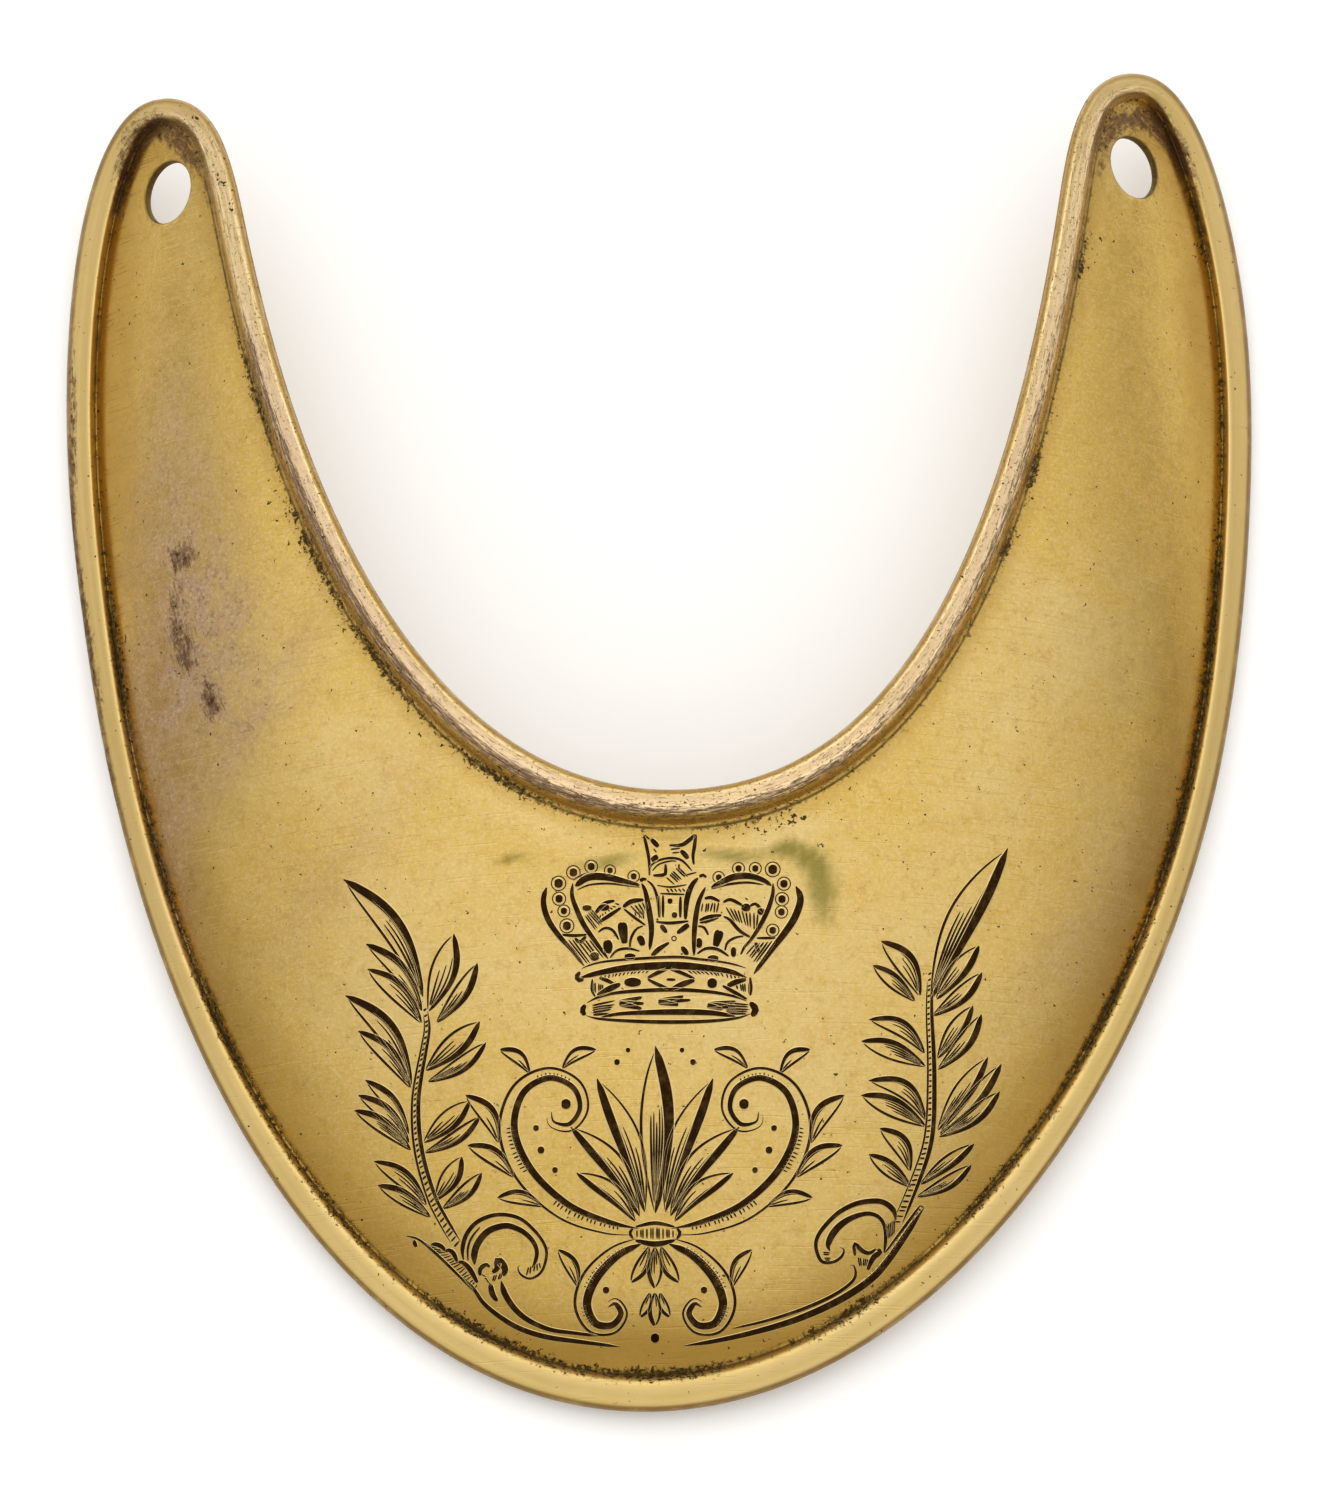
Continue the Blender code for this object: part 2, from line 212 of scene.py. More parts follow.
def edgeStations():
    # Points round the edge, counterclockwise from the bottom, the inward direction at each, how far each
    # has the neck's section, its length of edge from the nearer horn's top, and that from the bottom.
    outer, neck = halfOutline()
    count = edge["stations"]
    even = np.arange(count + 1) / count
    bias = (1.0 - edge["endSpacing"]) / 2
    closer = (1.0 + bias) * even - bias * even**3
    outerPoints, outerAhead, outerAt = spaced(outer, closer)
    neckPoints, neckAhead, neckAt = spaced(neck, 1.0 - closer[::-1])
    outerAhead[0], outerAhead[-1], neckAhead[-1] = (1.0, 0.0), (-1.0, 0.0), (-1.0, 0.0)
    along = np.concatenate([outerAt - outerAt[-1], neckAt[1:]])
    share = smoothstep(along / edge["changeLength"] + 0.5)
    points = np.vstack([outerPoints, neckPoints[1:]])
    ahead = np.vstack([outerAhead, neckAhead[1:]])
    mirrored = slice(-2, 0, -1)
    points = np.vstack([points, points[mirrored] * (-1.0, 1.0)])
    ahead = np.vstack([ahead, ahead[mirrored] * (1.0, -1.0)])
    share = np.concatenate([share, share[mirrored]])

    y = points[:, 1]
    keel = np.clip((throatY - y) / (throatY - bottomY), 0.0, 1.0) ** edge["keelPower"]
    keel = -sheet["keelDrift"] * keel
    drift = np.clip((shoulderY - y) / (shoulderY - throatY), 0.0, 1.0) ** edge["driftPower"]
    drift = sheet["throatDrift"] * drift
    station = np.arange(len(points))
    place = np.where(points[:, 0] < 0.0, edge["driftPlaces"][0], edge["driftPlaces"][1])
    keel = keel + edge["sideDrift"] * np.exp(-(((y - place) / edge["driftReach"]) ** 2))
    points[:, 0] += np.where((station > count) & (station < 3 * count), drift, keel)

    inward = np.column_stack([-ahead[:, 1], ahead[:, 0]])
    reach = edge["easeStations"]
    kernel = np.hanning(2 * reach + 3)[1:-1]
    wrapped = np.vstack([inward[-reach:], inward, inward[:reach]])
    inward = unit(
        np.column_stack([np.convolve(wrapped[:, k], kernel / kernel.sum(), "valid") for k in (0, 1)])
    )
    steps = np.linalg.norm(np.roll(points, -1, axis=0) - points, axis=1)
    length = np.concatenate([[0.0], np.cumsum(steps)])
    toTip = np.concatenate([along, along[mirrored]])
    return points, inward, share, toTip, length


# Rim

rim = {
    "width": 3.45,
    "height": 1.9,
    "lean": 0.5,  # 0 stands square to the sheet, 1 straight to the front
    "outerLean": 0.32,  # added to lean along the outer edge
    "tipNarrowing": 0.30,  # share of its width that it loses over a horn's top
    "tipLength": 7.0,
    "sideNarrowing": 0.22,  # share of its width that the outer rim loses down the sides
    "narrowest": -14.0,  # at this height
    "narrowReach": 34.0,
    "foreshortened": 0.4,  # power of the slope by which the outer rim narrows in the front view
    "creaseDepth": 0.05,  # sharp little valley where the neck's rim was hammered up out of the sheet
    "creaseWidth": 0.4,
    "outerCrease": 0.4,  # share of that depth on the outer side
    "creaseFade": 6.0,  # it fades out where the rims are nearer than this
    "finePoints": 4,  # mesh points for each point of a section
}
# across: share of the width from the edge inwards; rise: share of the height above the sheet
outerRim = (
    (0.00, 0.39),
    (0.012, 0.65),
    (0.05, 0.84),
    (0.11, 0.95),
    (0.20, 0.98),
    (0.40, 0.92),
    (0.62, 0.86),
    (0.79, 0.77),
    (0.885, 0.61),
    (0.945, 0.30),
    (0.98, 0.08),
    (1.00, 0.00),
)
neckRim = (
    (0.00, 0.37),
    (0.01, 0.60),
    (0.05, 0.77),
    (0.13, 0.92),
    (0.26, 0.93),
    (0.42, 0.94),
    (0.56, 0.95),
    (0.66, 0.80),
    (0.77, 0.53),
    (0.88, 0.20),
    (0.96, 0.04),
    (1.00, 0.00),
)
# back of the rim, from the plate out to the edge, with the share of the sheet's thickness taken off
rimBack = (
    (1.00, 0.00, 1.00),
    (0.86, 0.06, 1.00),
    (0.70, 0.22, 0.95),
    (0.54, 0.42, 0.90),
    (0.38, 0.52, 0.85),
    (0.22, 0.50, 0.70),
    (0.08, 0.47, 0.54),
    (0.00, 0.47, 0.26),
)


def curveThrough(rows, perSpan):
    # Catmull-Rom curve through rows along the last axis but one: each span's points are weighted sums
    # of the four rows around it.
    first = 2 * rows[..., :1, :] - rows[..., 1:2, :]
    last = 2 * rows[..., -1:, :] - rows[..., -2:-1, :]
    padded = np.concatenate([first, rows, last], axis=-2)
    t = np.arange(perSpan) / perSpan
    weights = 0.5 * np.column_stack(
        [-t + 2 * t**2 - t**3, 2 - 5 * t**2 + 3 * t**3, t + 4 * t**2 - 3 * t**3, t**3 - t**2]
    )
    spans = rows.shape[-2] - 1
    windows = np.stack([padded[..., k : k + spans, :] for k in range(4)], axis=-2)
    fine = np.einsum("tk,...skd->...std", weights, windows)
    fine = fine.reshape(*rows.shape[:-2], spans * perSpan, rows.shape[-1])
    return np.concatenate([fine, rows[..., -1:, :]], axis=-2)


def rimSections(points, inward, share, toTip):
    # Points of the rim's front and back at each station. A section point is the sheet's surface at
    # base + across * width * inward, raised by rise * height between the sheet's normal and the front.
    blend = share[:, None, None]
    rows = (1.0 - blend) * np.array(outerRim) + blend * np.array(neckRim)
    rows = curveThrough(rows, rim["finePoints"])
    back = curveThrough(np.array(rimBack), 2)
    back = np.broadcast_to(back, (len(points), *back.shape))
    width = rim["width"] * (1.0 - rim["tipNarrowing"] * np.exp(-((toTip / rim["tipLength"]) ** 2)))
    slimmer = np.exp(-(((points[:, 1] - rim["narrowest"]) / rim["narrowReach"]) ** 2)) * (1.0 - share)
    width = width * (1.0 - rim["sideNarrowing"] * slimmer)
    base = points.copy()
    for _ in range(3):
        normal = frontNormal(base)
        steepness = np.sum(inward * -normal[:, :2], axis=1) / normal[:, 2]
        stretch = np.sqrt(1.0 + steepness**2)
        reach = width / stretch ** (rim["foreshortened"] + (1.0 - rim["foreshortened"]) * share)
        lean = (rim["lean"] + rim["outerLean"] * (1.0 - share))[:, None]
        riseWay = unit((1.0 - lean) * normal + lean * np.array([0.0, 0.0, 1.0]))
        leanIn = np.sum(riseWay[:, :2] * inward, axis=1)
        offset = rows[..., 0] * reach[:, None] + rows[..., 1] * rim["height"] * leanIn[:, None]
        shift = -offset.min(axis=1)
        base = points + shift[:, None] * inward

    def placed(across, height, thickness):
        plan = base[:, None, :] + (across * reach[:, None])[..., None] * inward[:, None, :]
        flat = plan.reshape(-1, 2)
        surface = frontPoint(flat).reshape(*plan.shape[:2], 3)
        square = frontNormal(flat).reshape(surface.shape)
        return surface + height[..., None] * riseWay[:, None, :] - thickness[..., None] * square

    front = placed(rows[..., 0], rows[..., 1] * rim["height"], np.zeros(rows.shape[:2]))
    backs = placed(back[..., 0], back[..., 1] * rim["height"], back[..., 2] * sheet["thickness"])
    return front, backs, shift + reach, stretch, rows[..., 0]


def creaseDrop(distance):
    # Valley at the rim's foot: depth * (1 - d / width)^2 for a distance d from the foot.
    near = np.clip(1.0 - np.abs(distance) / rim["creaseWidth"], 0.0, 1.0)
    return rim["creaseDepth"] * near**2


# Plate

plate = {
    "divisions": 56,  # across the front between the rims
    "backDivisions": 20,
    "footSpacing": 0.30,  # mm between the first rows beside the rim
    "block": 8000,  # vertices measured at a time
}


def rowShares(divisions, spans):
    # Shares across each ruling, close together beside the rims: an even share plus a bend that gives
    # the first and last steps the wanted spacing.
    even = np.arange(1, divisions) / divisions
    wanted = np.clip(plate["footSpacing"] * divisions / np.maximum(spans, 1e-6), 0.05, 1.0)
    bend = (1.0 - wanted)[:, None] / (2 * math.pi)
    return even[None, :] - bend * np.sin(2 * math.pi * even)[None, :]


def plateMesh():
    points, inward, share, toTip, _ = edgeStations()
    front, back, _, _, _ = rimSections(points, inward, share, toTip)
    band = np.concatenate([front, back], axis=1)
    stations, across = band.shape[:2]
    count = edge["stations"]
    foot, backFoot = front.shape[1] - 1, front.shape[1]
    vertices = [band.reshape(-1, 3)]
    station, place = np.meshgrid(np.arange(stations), np.arange(across), indexing="ij")
    here = station * across + place
    ahead = np.roll(here, -1, axis=0)
    quads = np.stack([here, ahead, np.roll(ahead, -1, axis=1), np.roll(here, -1, axis=1)], axis=-1)
    keep = np.arange(across) != foot
    faces = [quads[:, keep].reshape(-1, 4)]
    triangles = []
    rulings = np.arange(1 - count, count)
    start = len(vertices[0])
    sides = ((foot, plate["divisions"], True), (backFoot, plate["backDivisions"], False))
    for place, divisions, isFront in sides:
        low = front[rulings % stations, foot, :2]
        high = front[2 * count - rulings, foot, :2]
        spans = np.linalg.norm(high - low, axis=1)
        shares = rowShares(divisions, spans)
        plan = low[:, None, :] + (high - low)[:, None, :] * shares[..., None]
        flat = plan.reshape(-1, 2)
        surface = frontPoint(flat)
        normal = frontNormal(flat)
        if isFront:
            toFoot = (np.minimum(shares, 1.0 - shares) * spans[:, None]).ravel()
            depth = creaseDrop(toFoot) * np.where(shares.ravel() > 0.5, 1.0, rim["outerCrease"])
            depth = depth * smoothstep(spans / rim["creaseFade"]).repeat(divisions - 1)
            surface = surface - depth[:, None] * normal
        else:
            surface = surface - sheet["thickness"] * normal
        vertices.append(surface)
        inner = start + np.arange(len(flat)).reshape(len(rulings), divisions - 1)
        lowFeet = (rulings % stations) * across + place
        highFeet = (2 * count - rulings) * across + place
        grid = np.column_stack([lowFeet, inner, highFeet])
        quads = np.stack([grid[:-1, :-1], grid[1:, :-1], grid[1:, 1:], grid[:-1, 1:]], axis=-1)
        faces.append(quads.reshape(-1, 4))
        for tip, row in ((count, grid[-1]), (-count % stations, grid[0])):
            corner = np.full(len(row) - 1, tip * across + place)
            triangles.append(np.column_stack([row[:-1], corner, row[1:]]))
        start += len(flat)
    return np.vstack(vertices), np.vstack(faces), np.vstack(triangles)


uprightVertices, plateQuads, plateTriangles = plateMesh()
turnDown = np.array(Matrix.Rotation(sheet["pitch"], 3, "X"))
turned = uprightVertices @ turnDown.T
restOffset = (plateLow + plateHigh) / 2 - (turned.min(axis=0) + turned.max(axis=0)) / 2
restOffset[2] = plateLow[2] - turned[:, 2].min()


def toWorld(points):
    return (points @ turnDown.T + restOffset) * 0.001


def toUpright(points):
    return (points * 1000 - restOffset) @ turnDown


def newObject(name, vertices, faces):
    mesh = bpy.data.meshes.new(name)
    mesh.from_pydata(vertices.tolist(), [], faces)
    mesh.validate()
    made = bpy.data.objects.new(name, mesh)
    bpy.context.scene.collection.objects.link(made)
    return made


def turnFacesOut(mesh):
    edit = bmesh.new()
    edit.from_mesh(mesh)
    bmesh.ops.recalc_face_normals(edit, faces=edit.faces)
    edit.to_mesh(mesh)
    edit.free()


# Lace holes

laceHoles = {
    "drop": 8.7,
    "offset": 44.38,  # from the middle
    "sides": 72,
    # within this distance of the axis the walls of the holes get painted shade
    "boreShadeWithin": 3.08,  # mm from the axis
    "boreShadeFade": 0.12,
}
# height from the front of the sheet and radius: a plain bore whose edges are worn round, front and back
laceBore = (
    (-4.00, 3.20),
    (-1.00, 3.16),
    (-0.86, 3.04),
    (-0.74, 2.94),
    (-0.58, 2.90),
    (-0.24, 2.90),
    (-0.12, 2.93),
    (-0.03, 3.02),
    (0.06, 3.16),
    (0.30, 3.30),
    (4.00, 3.40),
)


def holePlaces():
    y = topY - laceHoles["drop"]
    return np.array([[-laceHoles["offset"], y], [laceHoles["offset"], y]])


def boreTool(name, place, normal):
    # A turned form: each profile point carried round the axis, (r cos t, r sin t, height), with both
    # ends closed by one face.
    profile = np.array(laceBore)
    turn = np.linspace(0.0, 2 * math.pi, laceHoles["sides"], endpoint=False)
    across = unit(np.cross((0.0, 1.0, 0.0), normal))
    along = np.cross(normal, across)
    ring = np.cos(turn)[:, None] * across + np.sin(turn)[:, None] * along
    points = place + profile[:, 0, None, None] * normal + profile[:, 1, None, None] * ring[None]
    rows, sides = points.shape[:2]
    index = np.arange(rows * sides).reshape(rows, sides)
    after = np.roll(index, -1, axis=1)
    faces = np.stack([index[:-1], after[:-1], after[1:], index[1:]], axis=-1).reshape(-1, 4).tolist()
    faces += [index[0][::-1].tolist(), index[-1].tolist()]
    tool = newObject(name, toWorld(points.reshape(-1, 3)), faces)
    turnFacesOut(tool.data)
    return tool


def cutHoles(target):
    plan = holePlaces()
    tools = [
        boreTool(f"{side}_bore_tool", place, normal)
        for side, place, normal in zip(("left", "right"), frontPoint(plan), frontNormal(plan))
    ]
    for tool in tools:
        boolean = target.modifiers.new(tool.name, "BOOLEAN")
        boolean.operation = "DIFFERENCE"
        boolean.object = tool
    depsgraph = bpy.context.evaluated_depsgraph_get()
    finished = bpy.data.meshes.new_from_object(target.evaluated_get(depsgraph))
    target.modifiers.clear()
    old = target.data
    target.data = finished
    bpy.data.meshes.remove(old)
    for tool in tools:
        bpy.data.objects.remove(tool, do_unlink=True)


# Marks on the sheet, and painted light and shade, given where they show in a front view of 1332 by 1500
# pixels

picture = {
    "scale": 11.178,  # pixels for a millimetre in the plane of the foremost place
    "centre": np.array([665.46, 740.70]),  # pixel before the middle of the gorget
    "middle": np.array([666.0, 750.0]),
    "roll": math.radians(1.484),
    "distance": 1100.0,  # mm from the camera to that plane
    "height": 1500.0,
    "sensor": 36.0,
    "clip": (0.05, 20.0),
}


def foremostPlane(pixels):
    # Shift, scale and roll undone.
    offset = (pixels - picture["centre"]) / picture["scale"] * (1.0, -1.0)
    c, s = math.cos(picture["roll"]), math.sin(picture["roll"])
    return np.column_stack([offset[:, 0] * c + offset[:, 1] * s, offset[:, 1] * c - offset[:, 0] * s])


def fromPicture(pixels):
    # Spread from the middle by how far the sheet lies behind the foremost plane there:
    # plan = flat * (1 + depth / distance), in four rounds.
    flat = foremostPlane(pixels)
    plan = flat
    for _ in range(4):
        plan = flat * (1.0 + sheetDepth(plan[:, 0], plan[:, 1]) / picture["distance"])[:, None]
    return plan


stainsAndPaintedLight = {
    # x and y in the view, radii along and across in pixels, turn in degrees, strength
    "purple": (
        (170, 430, 120, 32, 84, 0.40),
        (188, 560, 120, 46, 84, 0.75),
        (205, 660, 90, 44, 70, 0.95),
        (250, 720, 110, 30, 55, 0.60),
        (165, 800, 170, 30, -82, 0.55),
        (330, 880, 150, 40, 50, 0.25),
        (1120, 870, 120, 40, 60, 0.20),
        (1060, 960, 90, 36, 55, 0.20),
    ),
    "tarnish": (
        (172, 136, 26, 13, -40, 1.0),
        (146, 130, 26, 15, 25, 0.8),
        (132, 156, 26, 13, 60, 0.8),
        (120, 196, 34, 9, 84, 0.95),
        (188, 152, 26, 10, -62, 0.9),
        (206, 190, 30, 8, -74, 0.6),
        (182, 556, 18, 20, 80, 1.0),
        (176, 600, 22, 9, 80, 0.75),
        (179, 636, 20, 16, 70, 1.0),
        (188, 664, 18, 12, 60, 0.85),
        (206, 686, 16, 10, 80, 0.75),
        (213, 706, 16, 12, 60, 1.0),
        (1136, 119, 34, 15, 10, 1.0),
        (1166, 136, 26, 14, -40, 0.9),
        (1184, 164, 28, 10, -64, 0.85),
        (1196, 205, 30, 8, -78, 0.6),
        (1110, 132, 20, 10, 60, 0.8),
        (1102, 165, 22, 8, 76, 0.7),
        (268, 430, 60, 7, -70, 0.6),
        (252, 360, 40, 8, -76, 0.6),
        (74, 440, 130, 6, 89, 0.85),
        (90, 640, 120, 6, -82, 0.95),
        (112, 780, 60, 5, -76, 0.6),
    ),
    "pitted": (
        (1100, 238, 16, 12, 20, 1.0),
        (1083, 268, 18, 8, 70, 1.0),
        (1074, 116, 34, 12, 76, 1.0),
        (1196, 222, 24, 6, -82, 1.0),
        (1200, 258, 20, 6, -82, 1.0),
        (1005, 548, 14, 9, 70, 1.0),
        (1035, 470, 24, 7, 72, 0.9),
        (300, 540, 70, 12, -60, 1.0),
        (380, 660, 60, 12, -52, 0.9),
        (500, 775, 60, 10, -32, 0.9),
        (775, 826, 70, 10, 16, 1.0),
        (262, 400, 60, 8, -70, 0.7),
        (150, 105, 14, 8, 10, 0.9),
        (195, 120, 20, 10, -50, 0.9),
        (222, 180, 40, 9, -66, 0.8),
        (116, 655, 80, 12, -82, 1.0),
        (155, 852, 110, 11, -72, 0.7),
        (227, 1043, 110, 11, -63, 0.9),
        (329, 1216, 110, 13, -51, 1.0),
        (484, 1334, 110, 14, -27, 1.0),
        (670, 1376, 110, 14, 0, 1.0),
        (852, 1318, 90, 13, 30, 1.0),
        (999, 1187, 110, 12, 49, 0.95),
        (1107, 1015, 110, 12, 62, 0.9),
        (1179, 826, 110, 12, 75, 0.95),
        (1213, 624, 110, 11, 84, 0.85),
        (1224, 417, 80, 10, 89, 0.5),
    ),
    # where the neck rim is most worn
    "bare": (
        (268, 345, 40, 26, -74, 0.7),
        (285, 430, 70, 26, -70, 1.0),
        (340, 555, 90, 28, -64, 1.0),
        (430, 680, 90, 28, -48, 1.0),
        (545, 770, 70, 26, -26, 0.85),
        (655, 800, 80, 26, 0, 0.45),
        (790, 775, 80, 26, 25, 0.5),
        (900, 680, 90, 28, 48, 0.5),
        (965, 560, 80, 28, 62, 0.7),
        (1010, 430, 80, 26, 72, 0.85),
        (1050, 290, 50, 22, 78, 0.6),
    ),
    # painted shade: dusky and brownish down the outer sides, along the bottom and round the horn tips,
    # where the sheet turns away from the light
    "deep": (
        (118, 330, 190, 32, 88, 1.0),
        (1200, 330, 190, 30, -86, 0.95),
        (150, 620, 200, 40, -82, 0.75),
        (655, 1345, 230, 26, 0, 0.85),
        (1172, 640, 260, 20, 82, 0.45),
        (1130, 900, 150, 22, 66, 0.40),
        (175, 150, 60, 30, 10, 0.6),
        (1150, 140, 60, 30, -10, 0.6),
    ),
    # painted dark reflections: olive streaks beside the throat, where the sheet mirrors something dark
    "oliveReflection": (
        (515, 858, 30, 6, 8, 0.75),
        (606, 862, 40, 9, 10, 0.9),
        (665, 838, 60, 5, 0, 0.45),
        (728, 856, 36, 8, -8, 0.9),
        (775, 850, 30, 7, 6, 0.6),
        (806, 858, 34, 13, -30, 0.85),
        (822, 895, 34, 16, -80, 1.0),
    ),
    # painted highlights: paler patches over the middle, the shoulders and beside the throat, where the
    # sheet shows bright reflections
    "paintedHighlight": (
        (665, 985, 330, 170, 0, 0.75),
        (330, 720, 150, 80, -45, 0.45),
        (1010, 700, 150, 80, 45, 0.6),
        (560, 832, 60, 18, -22, 0.9),
        (780, 834, 50, 13, 12, 0.9),
    ),
}


def spotStrength(plan, spots):
    # Sum of soft spots, strength * exp(-(a / radius along)^2 - (b / radius across)^2).
    total = np.zeros(len(plan))
    for x, y, along, across, turn, strength in spots:
        place = fromPicture(np.array([[float(x), float(y)]]))[0]
        way = math.radians(turn)
        offset = plan - place
        a = offset[:, 0] * math.cos(way) + offset[:, 1] * math.sin(way)
        b = offset[:, 1] * math.cos(way) - offset[:, 0] * math.sin(way)
        a, b = a * picture["scale"] / along, b * picture["scale"] / across
        total += strength * np.exp(-(a**2) - b**2)
    return np.clip(total, 0.0, 1.0)


def addAttribute(mesh, name, values):
    if values.ndim == 1:
        mesh.attributes.new(name, "FLOAT", "POINT").data.foreach_set("value", values.astype(np.float32))
    else:
        data = mesh.attributes.new(name, "FLOAT_VECTOR", "POINT").data
        data.foreach_set("vector", values.astype(np.float32).ravel())


def addSheetAttributes(mesh):
    # junction: mm from the rim's foot, below 0 on the rim. fromEdge: mm in the front view from the edge.
    # rimShare: share across of the nearest place of the rim's section, 0 at the edge, 1 at the foot.
    # neck: 0 at the outer rim, 1 at the neck rim. fromTip: mm of edge from the nearer horn's top. bore: 1
    # on the walls of the lace holes, which get painted shade. edgeWay: the edge's length rolled up into a
    # circle, and the distance across it, so that a pattern can follow the edge with no seam.
    points, inward, share, toTip, length = edgeStations()
    front, _, footAcross, stretch, rowShare = rimSections(points, inward, share, toTip)
    count = len(mesh.vertices)
    world = np.empty(count * 3)
    mesh.vertices.foreach_get("co", world)
    upright = toUpright(world.reshape(-1, 3))
    plan = upright[:, :2]
    nearest = np.empty(count, int)
    rimShare = np.empty(count)
    for start in range(0, count, plate["block"]):
        block = slice(start, start + plate["block"])
        gap = np.linalg.norm(plan[block, None, :] - points[None], axis=2)
        nearest[block] = gap.argmin(axis=1)
        gap = np.linalg.norm(upright[block, None, :] - front[nearest[block]], axis=2)
        nearestRow = gap.argmin(axis=1)[:, None]
        rimShare[block] = np.take_along_axis(rowShare[nearest[block]], nearestRow, 1)[:, 0]
    across = np.sum((plan - points[nearest]) * inward[nearest], axis=1)
    junction = (across - footAcross[nearest]) * stretch[nearest]
    along = 2 * math.pi * length[nearest] / length[-1]
    radius = length[-1] / (2 * math.pi)
    circle = radius * np.column_stack([np.cos(along), np.sin(along)])
    edgeWay = np.column_stack([circle, across * stretch[nearest]])
    holes = holePlaces()
    fromAxis = np.full(count, np.inf)
    for hole, normal in zip(frontPoint(holes), frontNormal(holes)):
        offset = upright - hole
        fromAxis = np.minimum(fromAxis, np.linalg.norm(np.cross(offset, normal), axis=1))
    boreShade = (laceHoles["boreShadeWithin"] - fromAxis) / laceHoles["boreShadeFade"]
    addAttribute(mesh, "bore", np.clip(boreShade, 0.0, 1.0))
    addAttribute(mesh, "fromEdge", across)
    addAttribute(mesh, "rimShare", rimShare)
    addAttribute(mesh, "junction", junction)
    addAttribute(mesh, "neck", share[nearest])
    addAttribute(mesh, "fromTip", np.abs(toTip[nearest]))
    addAttribute(mesh, "edgeWay", edgeWay)
    # stains and wear, and the painted highlights, reflections and shade, as attributes
    for name, spots in stainsAndPaintedLight.items():
        addAttribute(mesh, name, spotStrength(plan, spots))


# Material helpers


def plug(tree, socket, value):
    if isinstance(value, bpy.types.NodeSocket):
        tree.links.new(value, socket)
    elif value is not None:
        socket.default_value = value


def calc(tree, operation, a, b=None, clamp=False):
    node = tree.nodes.new("ShaderNodeMath")
    node.operation = operation
    node.use_clamp = clamp
    plug(tree, node.inputs[0], a)
    plug(tree, node.inputs[1], b)
    return node.outputs[0]


def remap(tree, value, low, high, newLow=0.0, newHigh=1.0):
    node = tree.nodes.new("ShaderNodeMapRange")
    node.interpolation_type = "SMOOTHSTEP"
    for place, entry in enumerate((value, low, high, newLow, newHigh)):
        plug(tree, node.inputs[place], entry)
    return node.outputs[0]


def noise(tree, vector, scale, detail=3.0, roughness=0.55, distortion=0.0):
    node = tree.nodes.new("ShaderNodeTexNoise")
    plug(tree, node.inputs["Vector"], vector)
    plug(tree, node.inputs["Scale"], scale)
    plug(tree, node.inputs["Detail"], detail)
    plug(tree, node.inputs["Roughness"], roughness)
    plug(tree, node.inputs["Distortion"], distortion)
    return node.outputs["Fac"]


def mapped(tree, vector, scale, turn=(0.0, 0.0, 0.0)):
    node = tree.nodes.new("ShaderNodeMapping")
    plug(tree, node.inputs["Vector"], vector)
    plug(tree, node.inputs["Rotation"], turn)
    plug(tree, node.inputs["Scale"], scale)
    return node.outputs[0]


def mixed(tree, share, low, high):
    node = tree.nodes.new("ShaderNodeMix")
    node.data_type = "RGBA"
    plug(tree, node.inputs[0], share)
    plug(tree, node.inputs[6], low)
    plug(tree, node.inputs[7], high)
    return node.outputs[2]


def times(tree, *values):
    result = values[0]
    for value in values[1:]:
        result = calc(tree, "MULTIPLY", result, value)
    return result


def most(tree, *values):
    result = values[0]
    for value in values[1:]:
        result = calc(tree, "MAXIMUM", result, value)
    return result


def apart(tree, value, place):
    return calc(tree, "ABSOLUTE", calc(tree, "ADD", value, -place))


def inverse(tree, value):
    return calc(tree, "SUBTRACT", 1.0, value)


def attribute(tree, name, output="Fac"):
    node = tree.nodes.new("ShaderNodeAttribute")
    node.attribute_name = name
    return node.outputs[output]


def bumped(tree, height, distance, normal=None):
    node = tree.nodes.new("ShaderNodeBump")
    plug(tree, node.inputs["Height"], height)
    plug(tree, node.inputs["Distance"], distance)
    plug(tree, node.inputs["Strength"], 1.0)
    plug(tree, node.inputs["Normal"], normal)
    return node.outputs[0]


def emptyMaterial(name):
    material = bpy.data.materials.new(name)
    material.use_nodes = True
    tree = material.node_tree
    tree.nodes.clear()
    shader = tree.nodes.new("ShaderNodeBsdfPrincipled")
    output = tree.nodes.new("ShaderNodeOutputMaterial")
    tree.links.new(shader.outputs[0], output.inputs[0])
    return material, tree, shader


# Gilding

gilding = {
    "gold": (0.605, 0.410, 0.094, 1.0),
    "paleGold": (0.650, 0.480, 0.185, 1.0),
    "orange": (0.60, 0.375, 0.085, 1.0),
    "amber": (0.36, 0.205, 0.035, 1.0),
    "ochre": (0.58, 0.38, 0.100, 1.0),
    "umber": (0.20, 0.115, 0.032, 1.0),
    "dullStraw": (0.620, 0.455, 0.170, 1.0),
    "straw": (0.640, 0.470, 0.210, 1.0),
    "brightStraw": (0.80, 0.61, 0.34, 1.0),
    "copper": (0.74, 0.53, 0.36, 1.0),
    "brown": (0.130, 0.068, 0.036, 1.0),
    "pink": (0.43, 0.290, 0.195, 1.0),
    "oliveReflection": (0.165, 0.145, 0.022, 1.0),
    "dirtAndBoreShade": (0.022, 0.011, 0.003, 1.0),
    "roughness": 0.22,
    "dirtMetallic": 0.6,
    "specular": 0.05,
}
# how strongly each look covers what lies under it
cover = {
    "outerRimShade": 0.80,
    "nearRimShade": 0.55,
    "amberLine": 0.6,
    "rimTop": 0.92,
    "neckWall": 0.95,
    "wornWall": 0.35,
    "outerSlope": 0.75,
    "copper": 0.8,
    "hairlines": 0.88,
    "pink": 0.88,
    "pinkMottle": 0.62,
    "pinkGrain": 0.40,
    "oliveReflection": 0.80,
    "tarnish": 0.90,
    "dirtAndBoreShade": 0.93,
}
